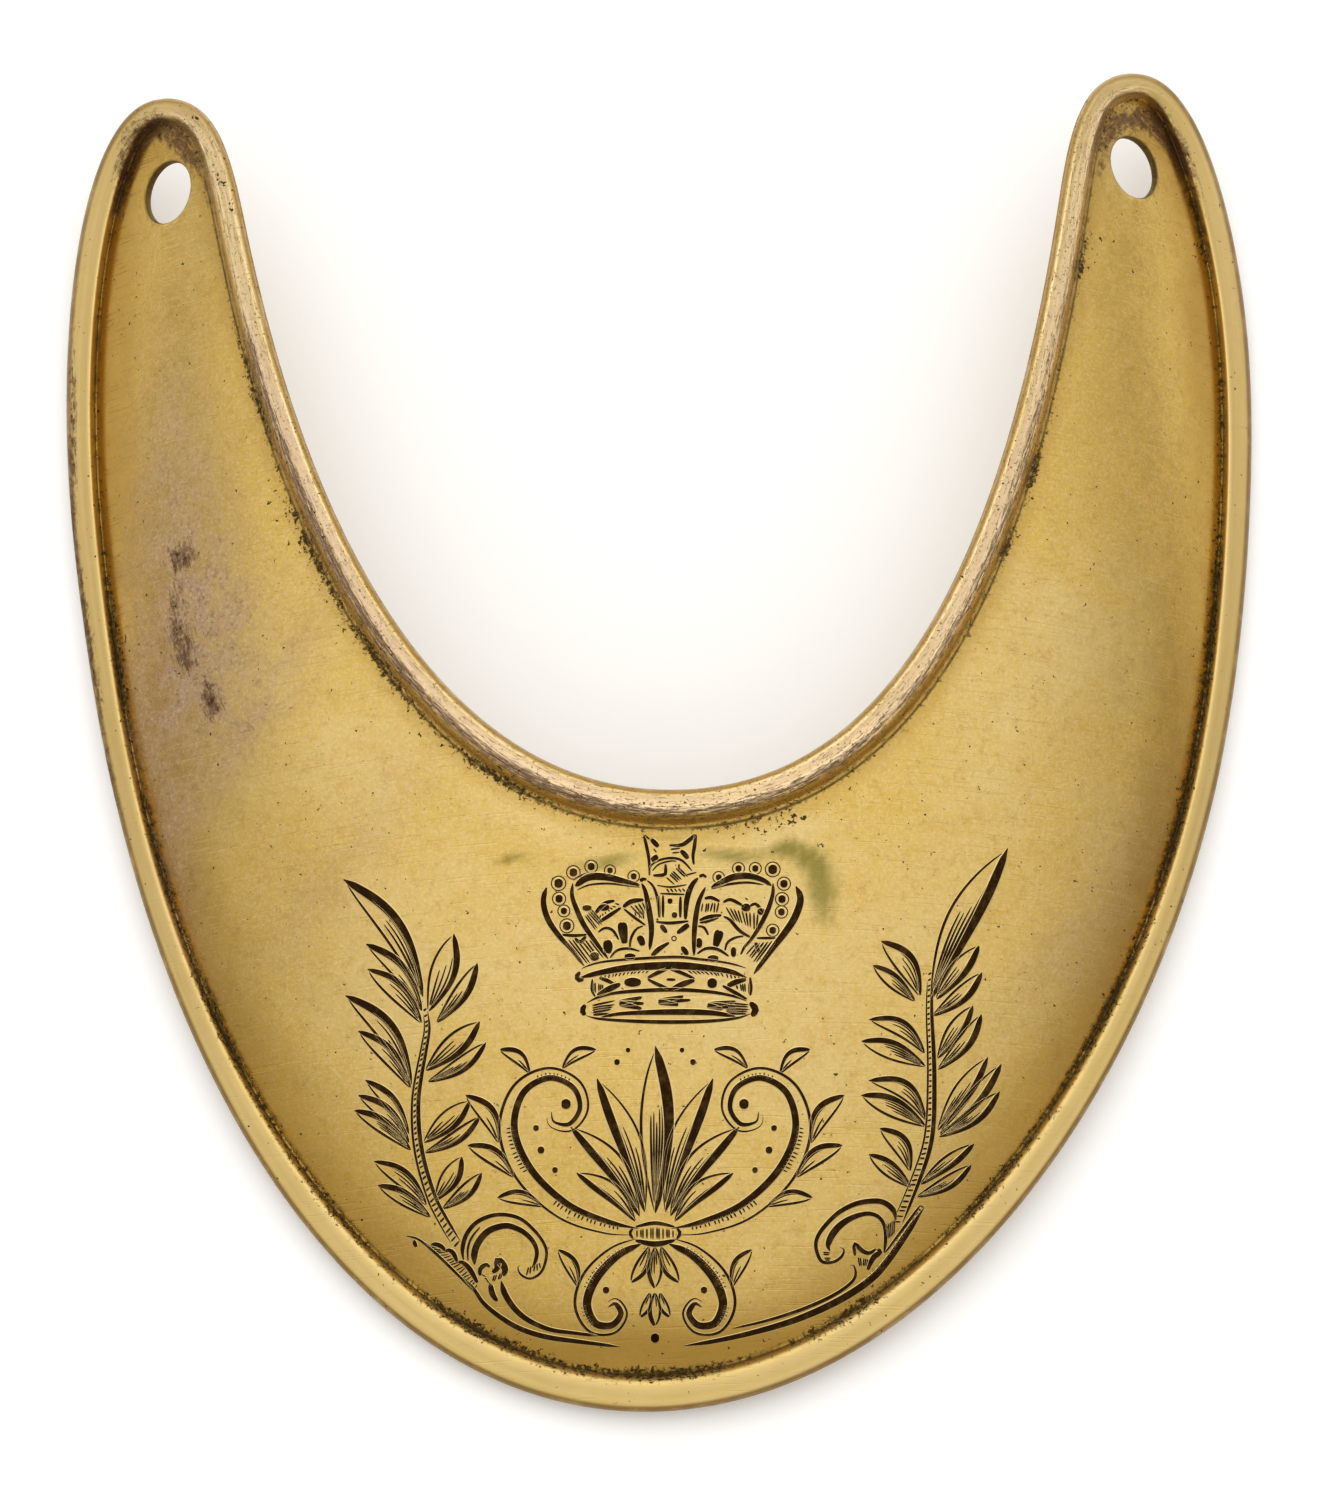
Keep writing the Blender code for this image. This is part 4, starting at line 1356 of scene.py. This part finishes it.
crown = {
    # half width, share of the length where it is widest, points
    "cross": (
        (1.7, 0.35, ((643.5, 834), (646.5, 846), (649, 860), (649.5, 877))),
        (1.7, 0.40, ((696, 833), (694.5, 846), (693, 856), (694, 866))),
        (1.9, 0.35, ((696, 834), (688, 841), (681, 845), (668, 845))),
        (1.0, 0.50, ((643.5, 834), (648, 838), (651, 840))),
        (2.5, 0.50, ((650, 838), (654, 842), (659.5, 848))),
        (2.4, 0.50, ((650.5, 862), (655, 858), (659, 855))),
        (2.6, 0.50, ((679.5, 849.5), (684, 853.5), (689, 860))),
        (1.3, 0.60, ((648.5, 877), (650.5, 866.5), (658.5, 860.5), (670.5, 858), (682, 860.5),
            (693, 872))),
        (0.8, 0.50, ((651.5, 872), (658.5, 864.5), (670.5, 861), (678, 861.5))),
        (1.6, 0.50, ((651.5, 875.5), (662.5, 875), (665.5, 873), (665.5, 862.5))),
        (1.0, 0.50, ((679, 862.5), (679, 873))),
        (0.8, 0.50, ((682, 876), (698, 872))),
        (0.9, 0.50, ((655.5, 885), (670.5, 887), (688, 884.5))),
        (0.7, 0.50, ((653, 848), (657, 853))),
    ),
    "panel": (
        (1.6, 0.50, ((658.5, 894), (659.5, 919))),
        (1.2, 0.50, ((663, 893.5), (663, 919))),
        (1.4, 0.50, ((680.5, 895), (680.2, 919))),
        (1.0, 0.50, ((658.5, 893.5), (687, 894.5))),
        (1.4, 0.50, ((654.5, 921.5), (669.5, 923), (690, 921))),
        (2.2, 0.40, ((660, 924), (664, 929), (667.5, 934))),
        (2.2, 0.40, ((690, 923.5), (684, 928), (676, 934))),
        (2.4, 0.60, ((670, 942), (659, 949), (650.5, 957))),
        (2.4, 0.50, ((681, 945.5), (685, 951), (688.5, 956))),
    ),
    "arches": (
        # left
        (2.6, 0.30, ((547, 886), (543.5, 899), (545, 911), (550, 923), (560, 937), (572, 950),
            (585, 967))),
        (2.4, 0.45, ((573, 882), (572, 895), (576.5, 909), (584, 925), (595, 941), (609, 960))),
        (3.2, 0.35, ((574, 887), (588, 877.5), (605, 877), (623, 881), (641, 885.5))),
        (1.1, 0.50, ((575, 891), (589, 885), (607, 883.5), (623, 885), (642, 887.5))),
        (1.0, 0.50, ((572, 881), (578, 877), (587, 873.5), (597, 872))),
        (2.4, 0.50, ((641, 882), (645.5, 892), (649.5, 913), (651.5, 931), (649.5, 951))),
        (1.5, 0.50, ((646, 879.5), (653, 886), (657.5, 899), (659, 919))),
        (1.8, 0.30, ((639, 882), (643, 879), (648, 880))),
        (1.6, 0.50, ((560, 934.5), (574, 935.5), (588, 934.5))),
        (2.0, 0.50, ((574, 937), (580, 942), (587, 935))),
        # right
        (2.3, 0.45, ((699, 877), (692, 885), (687, 899), (685.5, 917), (686, 921))),
        (1.6, 0.35, ((698, 877.5), (703, 875), (707.5, 878.5))),
        (2.6, 0.50, ((706, 886), (699, 901), (695.5, 919), (694, 938.5), (694, 957))),
        (2.0, 0.45, ((773, 882), (772.5, 895), (766.5, 913), (755.5, 933), (743.5, 949))),
        (3.2, 0.45, ((710, 888), (720, 883), (733.5, 877), (749, 876), (763, 880), (772.5, 886.5))),
        (1.1, 0.50, ((710, 889.5), (727.5, 884.5), (747.5, 882.5), (765, 885))),
        (3.4, 0.30, ((795.5, 885), (800.5, 899), (795, 917), (785, 932.5), (771, 950.5), (753, 975))),
        (1.4, 0.50, ((755, 938), (777, 938))),
        (2.2, 0.50, ((755, 941), (757.5, 948), (759, 954))),
    ),
    "pearls": (
        (633.7, 876.3, 3.2),
        (610.0, 870.4, 3.0),
        (591.2, 866.5, 3.8),
        (573.4, 872.4, 4.2),
        (558.6, 883.3, 4.6),
        (559.1, 898.7, 4.0),
        (563.9, 910.9, 3.4),
        (566.9, 925.8, 4.4),
        (718.7, 877.3, 3.2),
        (738.5, 868.4, 3.4),
        (755.3, 868.4, 3.4),
        (772.7, 869.4, 4.8),
        (783.9, 883.7, 4.0),
        (782.0, 899.1, 4.0),
        (781.4, 911.9, 3.6),
        (772.7, 930.3, 3.6),
    ),
    "cap": (
        # left
        (1.9, 0.50, ((596, 924), (607, 917), (622, 907))),
        (1.9, 0.50, ((593, 916), (602, 905.5), (608, 902), (616, 900.5))),
        (2.0, 0.45, ((622, 908), (631, 901.5), (645, 899.5))),
        (1.3, 0.50, ((623, 908), (634, 917), (646.5, 926))),
        (1.4, 0.50, ((597, 933), (605, 928), (613, 930.5), (619.5, 941))),
        (1.4, 0.50, ((629.5, 951), (631, 938.5), (636.5, 929), (644.5, 925.5))),
        (1.4, 0.50, ((609, 959), (617, 950.5), (628.5, 948.5), (641, 951.5))),
        (3.8, 0.30, ((622, 921), (623, 931), (625, 945))),
        (3.2, 0.40, ((638, 935), (641, 940), (643.5, 947))),
        (4.0, 0.45, ((606, 939), (608, 946), (607, 955))),
        # right
        (1.4, 0.50, ((696, 926), (704, 927.5), (709, 936.5))),
        (1.4, 0.50, ((724.5, 952), (727.5, 942.5), (735.5, 937.5), (745, 936))),
        (1.4, 0.50, ((696, 954.5), (706, 948.5), (718, 949.5), (730, 957))),
        (4.0, 0.30, ((720, 929), (718, 937), (715, 948))),
        (1.9, 0.50, ((698, 921), (708, 917), (723, 915))),
        (1.3, 0.50, ((698, 923), (709, 921), (720, 917))),
        (1.8, 0.50, ((722, 916), (729.5, 919.5), (740, 931), (752, 938))),
        (1.8, 0.45, ((703, 899), (711, 897.5), (721, 902))),
        (1.8, 0.45, ((722, 903), (730, 899.5), (740, 904), (746, 908))),
        (1.4, 0.50, ((748, 907), (756, 904), (764, 914))),
        (1.2, 0.50, ((752, 938), (745, 946), (740, 956))),
    ),
    "pearlGap": 2.6,  # to the ring round each
    "ringHalf": 0.6,
    "ring": (674, 938.5, 2.2),
    "tail": (2.4, 0.25),
    # place, half length and half height
    "dots": (
        (604, 907.5, 6.0, 3.4),
        (587, 908, 5.0, 3.0),
        (630, 956.5, 6.0, 3.2),
        (594.5, 956.5, 5.0, 4.4),
        (699, 943, 3.6, 5.0),
        (733.5, 952, 3.0, 5.0),
        (713, 958.5, 6.0, 3.4),
        (746, 907.5, 5.0, 4.0),
        (761, 911.5, 4.0, 3.4),
        (670, 901, 2.8, 2.8),
        (674.5, 915, 3.0, 3.0),
        (632.7, 982.3, 9.0, 4.6),
        (712.2, 983.2, 5.2, 5.0),
    ),
    "band": (
        (1.5, 0.50, ((579.5, 972), (585, 967), (609, 961), (671, 957), (698, 959), (728, 963),
            (749.5, 969))),
        (3.2, 0.50, ((577, 978.5), (603, 972), (631, 967.5), (671, 965.5), (698, 967), (728, 971),
            (748, 978))),
        (2.4, 0.50, ((581, 971), (577, 976), (579, 980), (585, 979))),
        (1.4, 0.50, ((592.5, 978), (592, 990), (596, 998))),
        (1.4, 0.50, ((750, 976), (751, 988), (750, 997))),
        (1.7, 0.50, ((646.5, 978.5), (657, 973), (668.5, 968.5))),
        (1.9, 0.50, ((668.5, 968.5), (682, 973), (696, 979.5))),
        (2.4, 0.50, ((696, 979.5), (683, 984), (670.5, 989.5))),
        (1.8, 0.50, ((646.5, 978.5), (657, 984), (670.5, 989.5))),
        (1.5, 0.50, ((665, 979.3), (677, 979.8))),
        (2.0, 0.50, ((721.5, 985), (734, 992), (748, 1000))),
        (2.6, 0.40, ((726, 986.5), (736, 982), (747.5, 979))),
        (2.6, 0.55, ((596, 996), (609, 989), (621.5, 983.5))),
        (1.8, 0.50, ((598, 977.5), (606, 980), (615.5, 984.5))),
    ),
    "roll": (
        (1.7, 0.50, ((585, 1004), (599, 997), (623, 992), (671, 989.7), (708, 991.6), (733, 996),
            (749, 1002))),
        (1.9, 0.50, ((584, 1015), (599, 1018.7), (631, 1021), (671, 1022), (710, 1021), (737, 1018),
            (753, 1013))),
        (2.8, 0.62, ((599, 1017.5), (623, 1013.5), (671, 1012), (710, 1012.8), (737.5, 1016.7))),
        (2.6, 0.50, ((586, 1003.5), (582.5, 1010.5), (586, 1016.5))),
        (2.8, 0.50, ((749.5, 1001.5), (755.5, 1009.5), (751, 1017))),
    ),
    # two lines, strokes between them, half width
    "hatching": (
        (((667, 846), (671, 853)), ((684, 842), (682, 852)), 3, 0.9),
        (((665, 876), (676, 865)), ((676, 886), (690, 879)), 6, 0.8),
        (((664, 888), (686, 888)), ((668, 893.5), (690, 892.5)), 6, 0.8),
        (((584, 914), (594, 925)), ((589, 924), (600, 934)), 1, 0.8),
        (((584, 914), (590, 908)), ((598, 933), (605, 925)), 5, 0.8),
        (((596, 921), (620, 905)), ((598, 917), (614, 903)), 8, 0.7),
        (((629, 904), (646, 900)), ((644, 920), (648.5, 912)), 5, 0.8),
        (((634, 917), (646, 922)), ((633, 912), (642, 905)), 3, 0.7),
        (((563, 938), (588, 938)), ((586, 968), (605, 960)), 7, 0.8),
        (((703, 902), (719, 901)), ((701, 914), (716, 915)), 6, 0.8),
        (((723, 905), (758, 912)), ((736, 924), (756, 934)), 9, 0.8),
        (((757, 942), (777, 939)), ((744, 957), (757, 968)), 6, 0.9),
        (((600, 974.5), (631, 969.5), (652, 968.5)), ((600, 981), (625, 976), (645, 974)), 13, 0.7),
        (((684, 968.5), (710, 970), (744, 976)), ((694, 975), (712, 976), (744, 982)), 14, 0.7),
        (((593, 980), (603, 984)), ((594, 997), (602, 991)), 5, 0.8),
        (((736, 984), (749, 981)), ((738, 990), (749, 996)), 5, 0.8),
        (((590, 1006), (591, 1015)), ((618, 1000), (614, 1013)), 5, 1.1),
        (((724, 1003), (724, 1013)), ((752, 1005), (750, 1014)), 5, 1.1),
    ),
    # ermine tails: root, and the points that each spreads to
    "ermine": (
        ((618, 1003), ((643, 997), (645, 1003.5), (643, 1009))),
        ((657, 1001.5), ((685, 996), (692, 1000), (680, 1005))),
        ((706, 1005), ((737, 1001.5), (738, 1007), (724, 1009.5))),
    ),
}


def crownStrokes():
    strokes = []
    for part in ("cross", "panel", "arches", "cap", "band", "roll"):
        strokes += [cut(*row) for row in crown[part]]
    strokes += [dot(*row) for row in crown["dots"]]
    for x, y, radius in crown["pearls"]:
        strokes += [dot(x, y, radius), ring(x, y, radius + crown["pearlGap"], crown["ringHalf"])]
    strokes.append(ring(*crown["ring"], crown["ringHalf"]))
    for row in crown["hatching"]:
        strokes += hatch(*row)
    for root, points in crown["ermine"]:
        strokes += [cut(*crown["tail"], (root, point)) for point in points]
    return strokes


stemHalf = 4.6
leftSpray = {
    "stem": ((458, 1246), (442, 1219), (432, 1199), (423, 1171), (418, 1148), (415.5, 1125),
        (415.5, 1099), (419, 1074), (424, 1048), (427, 1028), (425, 1008)),
    "rungs": 44,
    # root, tip, bow and half breadth as shares of the length, hatching strokes
    "leaves": (
        ((423, 998), (345.5, 881.5), 0.085, 0.070, 3),
        ((422, 1012), (367, 945), 0.09, 0.075, 2),
        ((422, 1024), (368, 970), 0.07, 0.110, 3),
        ((428, 1012), (453, 935), 0.02, 0.145, 3),
        ((436, 1023), (476.5, 964), 0.04, 0.090, 3),
        ((411.5, 1086), (347, 997), 0.10, 0.080, 3),
        ((411, 1089), (359, 1032), 0.07, 0.090, 3),
        ((425, 1071), (478.5, 1022), 0.00, 0.130, 3),
        ((427, 1082), (485, 1043), 0.06, 0.090, 4),
        ((409, 1135), (366, 1081), 0.08, 0.080, 2),
        ((409.5, 1144), (359, 1096), 0.08, 0.090, 3),
        ((411.5, 1151), (355, 1111), 0.05, 0.090, 4),
        ((423, 1143), (469, 1101), 0.00, 0.140, 3),
        ((424, 1153), (479, 1117), 0.06, 0.080, 3),
        ((427, 1206), (374.5, 1162), 0.08, 0.110, 3),
        ((431, 1218), (378.5, 1186), 0.04, 0.100, 3),
        ((434.5, 1201), (461, 1157), 0.02, 0.160, 3),
        ((442, 1209), (481, 1173), 0.05, 0.110, 4),
    ),
}
rightSpray = {
    "stem": ((897, 1224), (907.5, 1199), (917, 1175), (926, 1148), (930, 1121), (931, 1081),
        (930.5, 1049), (929, 1011), (930, 972)),
    "rungs": 46,
    "leaves": (
        ((930, 1001), (1005, 851), -0.055, 0.080, 4),
        ((920, 997), (881.5, 942), 0.10, 0.140, 3),
        ((915.5, 1002), (873, 966), 0.02, 0.110, 3),
        ((935.5, 1000), (978, 946), -0.02, 0.110, 3),
        ((932, 1016), (981, 973), 0.04, 0.100, 3),
        ((925, 1054), (870, 1020), 0.14, 0.110, 3),
        ((926, 1067), (862, 1042), 0.04, 0.120, 4),
        ((937, 1059), (972, 1006), -0.02, 0.110, 3),
        ((937, 1070), (980.5, 1015), 0.05, 0.090, 3),
        ((926, 1121), (870, 1081), 0.18, 0.110, 3),
        ((926, 1127), (862, 1096), 0.04, 0.120, 4),
        ((937, 1131), (986.5, 1058), -0.02, 0.090, 4),
        ((939, 1134), (1000, 1065), 0.02, 0.070, 2),
        ((938.5, 1137), (998.5, 1092), 0.05, 0.090, 4),
        ((910, 1172), (880, 1129), 0.14, 0.150, 3),
        ((911.5, 1188), (869, 1155), 0.02, 0.120, 3),
        ((919.5, 1185), (973, 1144), -0.02, 0.080, 3),
        ((916, 1197), (970.5, 1165), 0.05, 0.090, 4),
    ),
}


def sprayStrokes(spray):
    strokes = stem(spray["stem"], stemHalf, spray["rungs"])
    for row in spray["leaves"]:
        strokes += leaf(*row)
    return strokes


footScrolls = {
    "cuts": (
        # left: volute, inner line, leaf heads, sweeps, tail
        (2.0, 0.12, ((464, 1263), (462.5, 1249), (467, 1233.5), (478.5, 1221), (498, 1214.5),
            (519, 1218), (534.5, 1230.5), (544.5, 1244.5), (546.5, 1256), (541.5, 1271.5),
            (530.5, 1278.5), (520.5, 1274), (518, 1266.5), (522, 1265))),
        (3.4, 0.18, ((474.5, 1266), (474.5, 1253), (478.5, 1242), (487, 1232), (498, 1227),
            (509.5, 1226), (523.5, 1232), (533.5, 1242), (537, 1253), (534, 1264.5), (530.5, 1268.5))),
        (1.0, 0.50, ((468, 1262), (468, 1248), (472, 1237), (481, 1226))),
        (2.2, 0.50, ((480, 1277), (480.5, 1268.5), (487, 1264.5), (490, 1268.5))),
        (3.2, 0.55, ((491, 1273), (497, 1268.5), (498, 1260), (505, 1268.5), (502.5, 1277))),
        (2.8, 0.45, ((490, 1282.5), (492.5, 1294), (498, 1302))),
        (2.6, 0.12, ((501, 1280), (505, 1294), (515, 1309), (529, 1320.5), (550, 1329.5), (574, 1333),
            (600, 1336))),
        (2.4, 0.50, ((459, 1274), (473, 1288), (484, 1303.5), (501, 1317.5), (521, 1329), (547, 1337),
            (582, 1342), (622, 1347))),
        (1.4, 0.50, ((404, 1235.5), (418, 1239), (432.5, 1250.5), (446, 1263), (463, 1280),
            (476, 1294))),
        (1.9, 0.50, ((414, 1239), (415, 1244), (417, 1248))),
        (2.0, 0.50, ((430, 1246), (434, 1244), (441, 1246), (446.5, 1252))),
        (2.0, 0.50, ((444, 1252), (449, 1250), (454, 1254), (457.5, 1263))),
        (2.2, 0.50, ((457, 1263), (462, 1262), (469, 1268), (475, 1278), (478, 1284))),
        # right: volute, inner line, leaf heads, sweeps
        (2.6, 0.10, ((896, 1222.5), (893.5, 1210.5), (884, 1202.5), (872, 1201), (855, 1204),
            (838, 1213), (823.5, 1227.5), (816.5, 1239.5), (816.5, 1250.5), (822, 1261.5), (833, 1262),
            (841.5, 1256.5), (844, 1249.5), (839, 1247))),
        (3.4, 0.80, ((884, 1254), (885.5, 1238.5), (884, 1225), (878, 1216.5), (867, 1213.5),
            (852.5, 1217.5), (840.5, 1225), (832, 1235), (828, 1245.5), (830.5, 1252))),
        (2.2, 0.50, ((855, 1257), (854.5, 1244), (862, 1250.5), (869.5, 1253), (877, 1248))),
        (2.6, 0.40, ((877, 1248), (880, 1252), (873, 1258), (867, 1271))),
        (1.6, 0.40, ((849, 1266), (853.5, 1265), (855.5, 1275), (849, 1284.5), (830, 1297), (800, 1310),
            (765, 1321), (730, 1329))),
        (3.2, 0.35, ((925, 1206), (913, 1224), (901, 1242), (889, 1259), (875.5, 1275), (857, 1289.5),
            (830, 1305), (795, 1320), (755, 1332), (715, 1341), (682, 1346))),
        (1.4, 0.40, ((921, 1204), (908, 1222), (896, 1238), (884, 1254))),
    ),
    "hatching": (
        (((529, 1266), (539, 1262)), ((526, 1277), (541, 1270)), 5, 0.8),
        (((422, 1242), (440, 1256), (458, 1274), (473, 1290)), ((432, 1246), (449, 1253), (466, 1266),
            (478, 1284)), 20, 0.7),
        (((481, 1274), (489, 1282)), ((487, 1277), (492, 1288)), 4, 0.7),
        (((495, 1274), (503, 1272)), ((492, 1283), (499, 1281)), 4, 0.8),
        (((822, 1252), (824, 1260)), ((831, 1253), (832, 1260)), 4, 0.8),
        (((886, 1222), (894, 1218)), ((889, 1243), (894, 1236)), 5, 0.9),
        (((920, 1205), (900, 1234), (880, 1262), (862, 1280)), ((924, 1208), (906, 1236), (887, 1262),
            (866, 1283)), 30, 0.8),
        (((858, 1256), (868, 1258)), ((860, 1268), (866, 1268)), 5, 0.8),
    ),
}


def footStrokes():
    strokes = [cut(*row) for row in footScrolls["cuts"]]
    for row in footScrolls["hatching"]:
        strokes += hatch(*row)
    return strokes


palmette = {
    "axis": 655.0,
    # root, tip, bow and half breadth as shares of the length, hatching strokes; the middle leaf
    "middleLeaves": (
        ((655, 1214), (655, 1050), 0.0, 0.085, 5),
        ((655, 1246), (655, 1288), 0.0, 0.150, 3),
        ((655, 1292), (655, 1326), 0.0, 0.150, 1),
    ),
    # and the left leaves, which are mirrored
    "sideLeaves": (
        ((645, 1213), (599, 1081), 0.07, -0.075, 3),
        ((640, 1217), (573, 1128), 0.10, -0.085, 3),
        ((636, 1222), (578, 1173), 0.10, -0.100, 2),
        ((649, 1246), (631, 1282), -0.06, -0.140, 2),
        ((650, 1292), (640, 1317), -0.06, -0.140, 1),
        ((499, 1144), (466, 1096), 0.12, 0.130, 2),
        ((514, 1178), (468, 1146), 0.10, 0.130, 2),
        ((544, 1207), (498, 1198), 0.10, 0.130, 2),
        ((530, 1074), (500, 1050), 0.14, 0.140, 1),
        ((578, 1288), (558, 1250), 0.10, 0.140, 2),
        ((562, 1069), (596, 1050), -0.14, -0.130, 1),
    ),
    # the left bands: x, y and half width along each, which edge is deep, and its rungs
    "bands": (
        (((640, 1232, 3), (605, 1227, 6), (562, 1210, 8), (524, 1174, 8.5), (507, 1130, 7.5),
            (518, 1090, 6), (548, 1073, 5), (576, 1084, 4.5), (584, 1108, 4), (571, 1127, 3.5),
            (552, 1124, 3), (549, 1110, 2)), False, ((0.06, 0.26, 16), (0.36, 0.50, 12),
            (0.66, 0.76, 9))),
        (((642, 1240, 3), (614, 1252, 5), (590, 1276, 6.5), (581, 1304, 6), (592, 1327, 5),
            (613, 1329, 4), (624, 1314, 3), (616, 1301, 2.5), (606, 1306, 2)), True, ((0.12, 0.42, 16),
            (0.52, 0.64, 6))),
    ),
    "dots": (
        (655, 1338, 4.5, 4.5),
        (566, 1104, 5.0, 5.0),
        (606, 1290, 3.4, 3.4),
        (536, 1128, 3.0, 3.0),
        (541, 1150, 3.6, 3.6),
        (555, 1170, 3.0, 3.0),
        (617, 1062, 3.0, 3.0),
        (628, 1050, 2.4, 2.4),
    ),
    "cuts": (
        (1.6, 0.50, ((634, 1227), (655, 1223), (676, 1227))),
        (2.4, 0.50, ((634, 1240), (655, 1244), (676, 1240))),
        (1.6, 0.50, ((634, 1227), (630, 1233), (634, 1240))),
        (1.6, 0.50, ((676, 1227), (680, 1233), (676, 1240))),
    ),
    "hatching": (((637, 1229), (655, 1226), (673, 1229)), ((637, 1239), (655, 1242),
        (673, 1239)), 12, 0.8),
}


def palmetteStrokes():
    half = []
    for row in palmette["sideLeaves"]:
        half += leaf(*row)
    for points, deepOutside, ladder in palmette["bands"]:
        half += scroll(points, deepOutside, ladder)
    half += [dot(*row) for row in palmette["dots"]]
    strokes = half + mirrored(half, palmette["axis"])
    for row in palmette["middleLeaves"]:
        strokes += leaf(*row)
    strokes += [cut(*row) for row in palmette["cuts"]]
    return strokes + hatch(*palmette["hatching"])


cutLooks = cutMaterial()
cutMesh("cut_crown", crownStrokes(), cutLooks)
cutMesh("cut_left_spray", sprayStrokes(leftSpray), cutLooks)
cutMesh("cut_right_spray", sprayStrokes(rightSpray), cutLooks)
cutMesh("cut_foot_scrolls", footStrokes(), cutLooks)
cutMesh("cut_palmette", palmetteStrokes(), cutLooks)

# Floor, light and camera

studio = {
    "floor": (0.93, 0.93, 0.93, 1.0),
    "floorRadius": 6.0,
    "floorSides": 96,
    "floorRoughness": 0.9,
    "floorGlow": 0.12,  # a lit table
    # a great soft glow over the horns, which fades towards the walls
    "glowWay": (0.0, 0.5, 0.866),
    "glowRadii": (58.0, 84.0),  # degrees from its middle, where it starts to fade and where it ends
    "glow": (1.0, 0.99, 0.97, 1.0),
    "walls": (0.50, 0.46, 0.40, 1.0),
    "lowToHigh": (-0.28, 0.34),  # heights between which the glow comes up
    "worldStrength": 1.15,
    # place in mm from the middle of the gorget in the upright frame, size in m, power in W
    "lamps": (("above", (0.0, 1000.0, 1500.0), (2.2, 1.6), 6.0),),
}


def buildFloor():
    sides = studio["floorSides"]
    turn = np.linspace(0.0, 2 * math.pi, sides, endpoint=False)
    rimPoints = np.column_stack([np.cos(turn), np.sin(turn), np.zeros(sides)]) * studio["floorRadius"]
    floor = newObject("floor", rimPoints, [list(range(sides))])
    material, tree, shader = emptyMaterial("paper")
    plug(tree, shader.inputs["Base Color"], studio["floor"])
    plug(tree, shader.inputs["Roughness"], studio["floorRoughness"])
    plug(tree, shader.inputs["Emission Color"], studio["floor"])
    plug(tree, shader.inputs["Emission Strength"], studio["floorGlow"])
    floor.data.materials.append(material)


def buildWorld():
    world = bpy.data.worlds.new("studio")
    bpy.context.scene.world = world
    world.use_nodes = True
    tree = world.node_tree
    way = tree.nodes.new("ShaderNodeTexCoord").outputs["Generated"]
    towards = tree.nodes.new("ShaderNodeVectorMath")
    towards.operation = "DOT_PRODUCT"
    plug(tree, towards.inputs[0], way)
    plug(tree, towards.inputs[1], studio["glowWay"])
    inner, outer = (math.cos(math.radians(radius)) for radius in studio["glowRadii"])
    share = remap(tree, towards.outputs["Value"], outer, inner)
    background = tree.nodes["Background"]
    height = tree.nodes.new("ShaderNodeSeparateXYZ")
    plug(tree, height.inputs[0], way)
    share = calc(tree, "MULTIPLY", share, remap(tree, height.outputs["Z"], *studio["lowToHigh"]))
    plug(tree, background.inputs["Color"], mixed(tree, share, studio["walls"], studio["glow"]))
    plug(tree, background.inputs["Strength"], studio["worldStrength"])
    bpy.context.scene.view_settings.view_transform = "Standard"


def buildLamps():
    target = Vector(toWorld(np.zeros((1, 3)))[0])
    for name, place, size, power in studio["lamps"]:
        light = bpy.data.lights.new(name, "AREA")
        light.shape = "RECTANGLE"
        light.size, light.size_y = size
        light.energy = power
        lamp = bpy.data.objects.new(name, light)
        bpy.context.scene.collection.objects.link(lamp)
        lamp.location = toWorld(np.array([place]))[0]
        lamp.rotation_mode = "QUATERNION"
        lamp.rotation_quaternion = (target - lamp.location).to_track_quat("-Z", "Y")


def buildCamera():
    # Straight in front of the pixel at the picture's middle, with the picture's roll.
    place = np.column_stack([foremostPlane(picture["middle"][None]), picture["distance"]])
    c, s = math.cos(picture["roll"]), math.sin(picture["roll"])
    data = bpy.data.cameras.new("camera")
    data.sensor_width = picture["sensor"]
    data.lens = data.sensor_width * picture["distance"] / (picture["height"] / picture["scale"])
    data.clip_start, data.clip_end = picture["clip"]
    camera = bpy.data.objects.new("camera", data)
    bpy.context.scene.collection.objects.link(camera)
    axes = np.column_stack([(c, -s, 0.0), (s, c, 0.0), (0.0, 0.0, 1.0)])
    matrix = Matrix((turnDown @ axes).tolist()).to_4x4()
    matrix.translation = Vector(toWorld(place)[0])
    camera.matrix_world = matrix
    bpy.context.scene.camera = camera


buildFloor()
buildWorld()
buildLamps()
buildCamera()
print("floor, light and camera set")
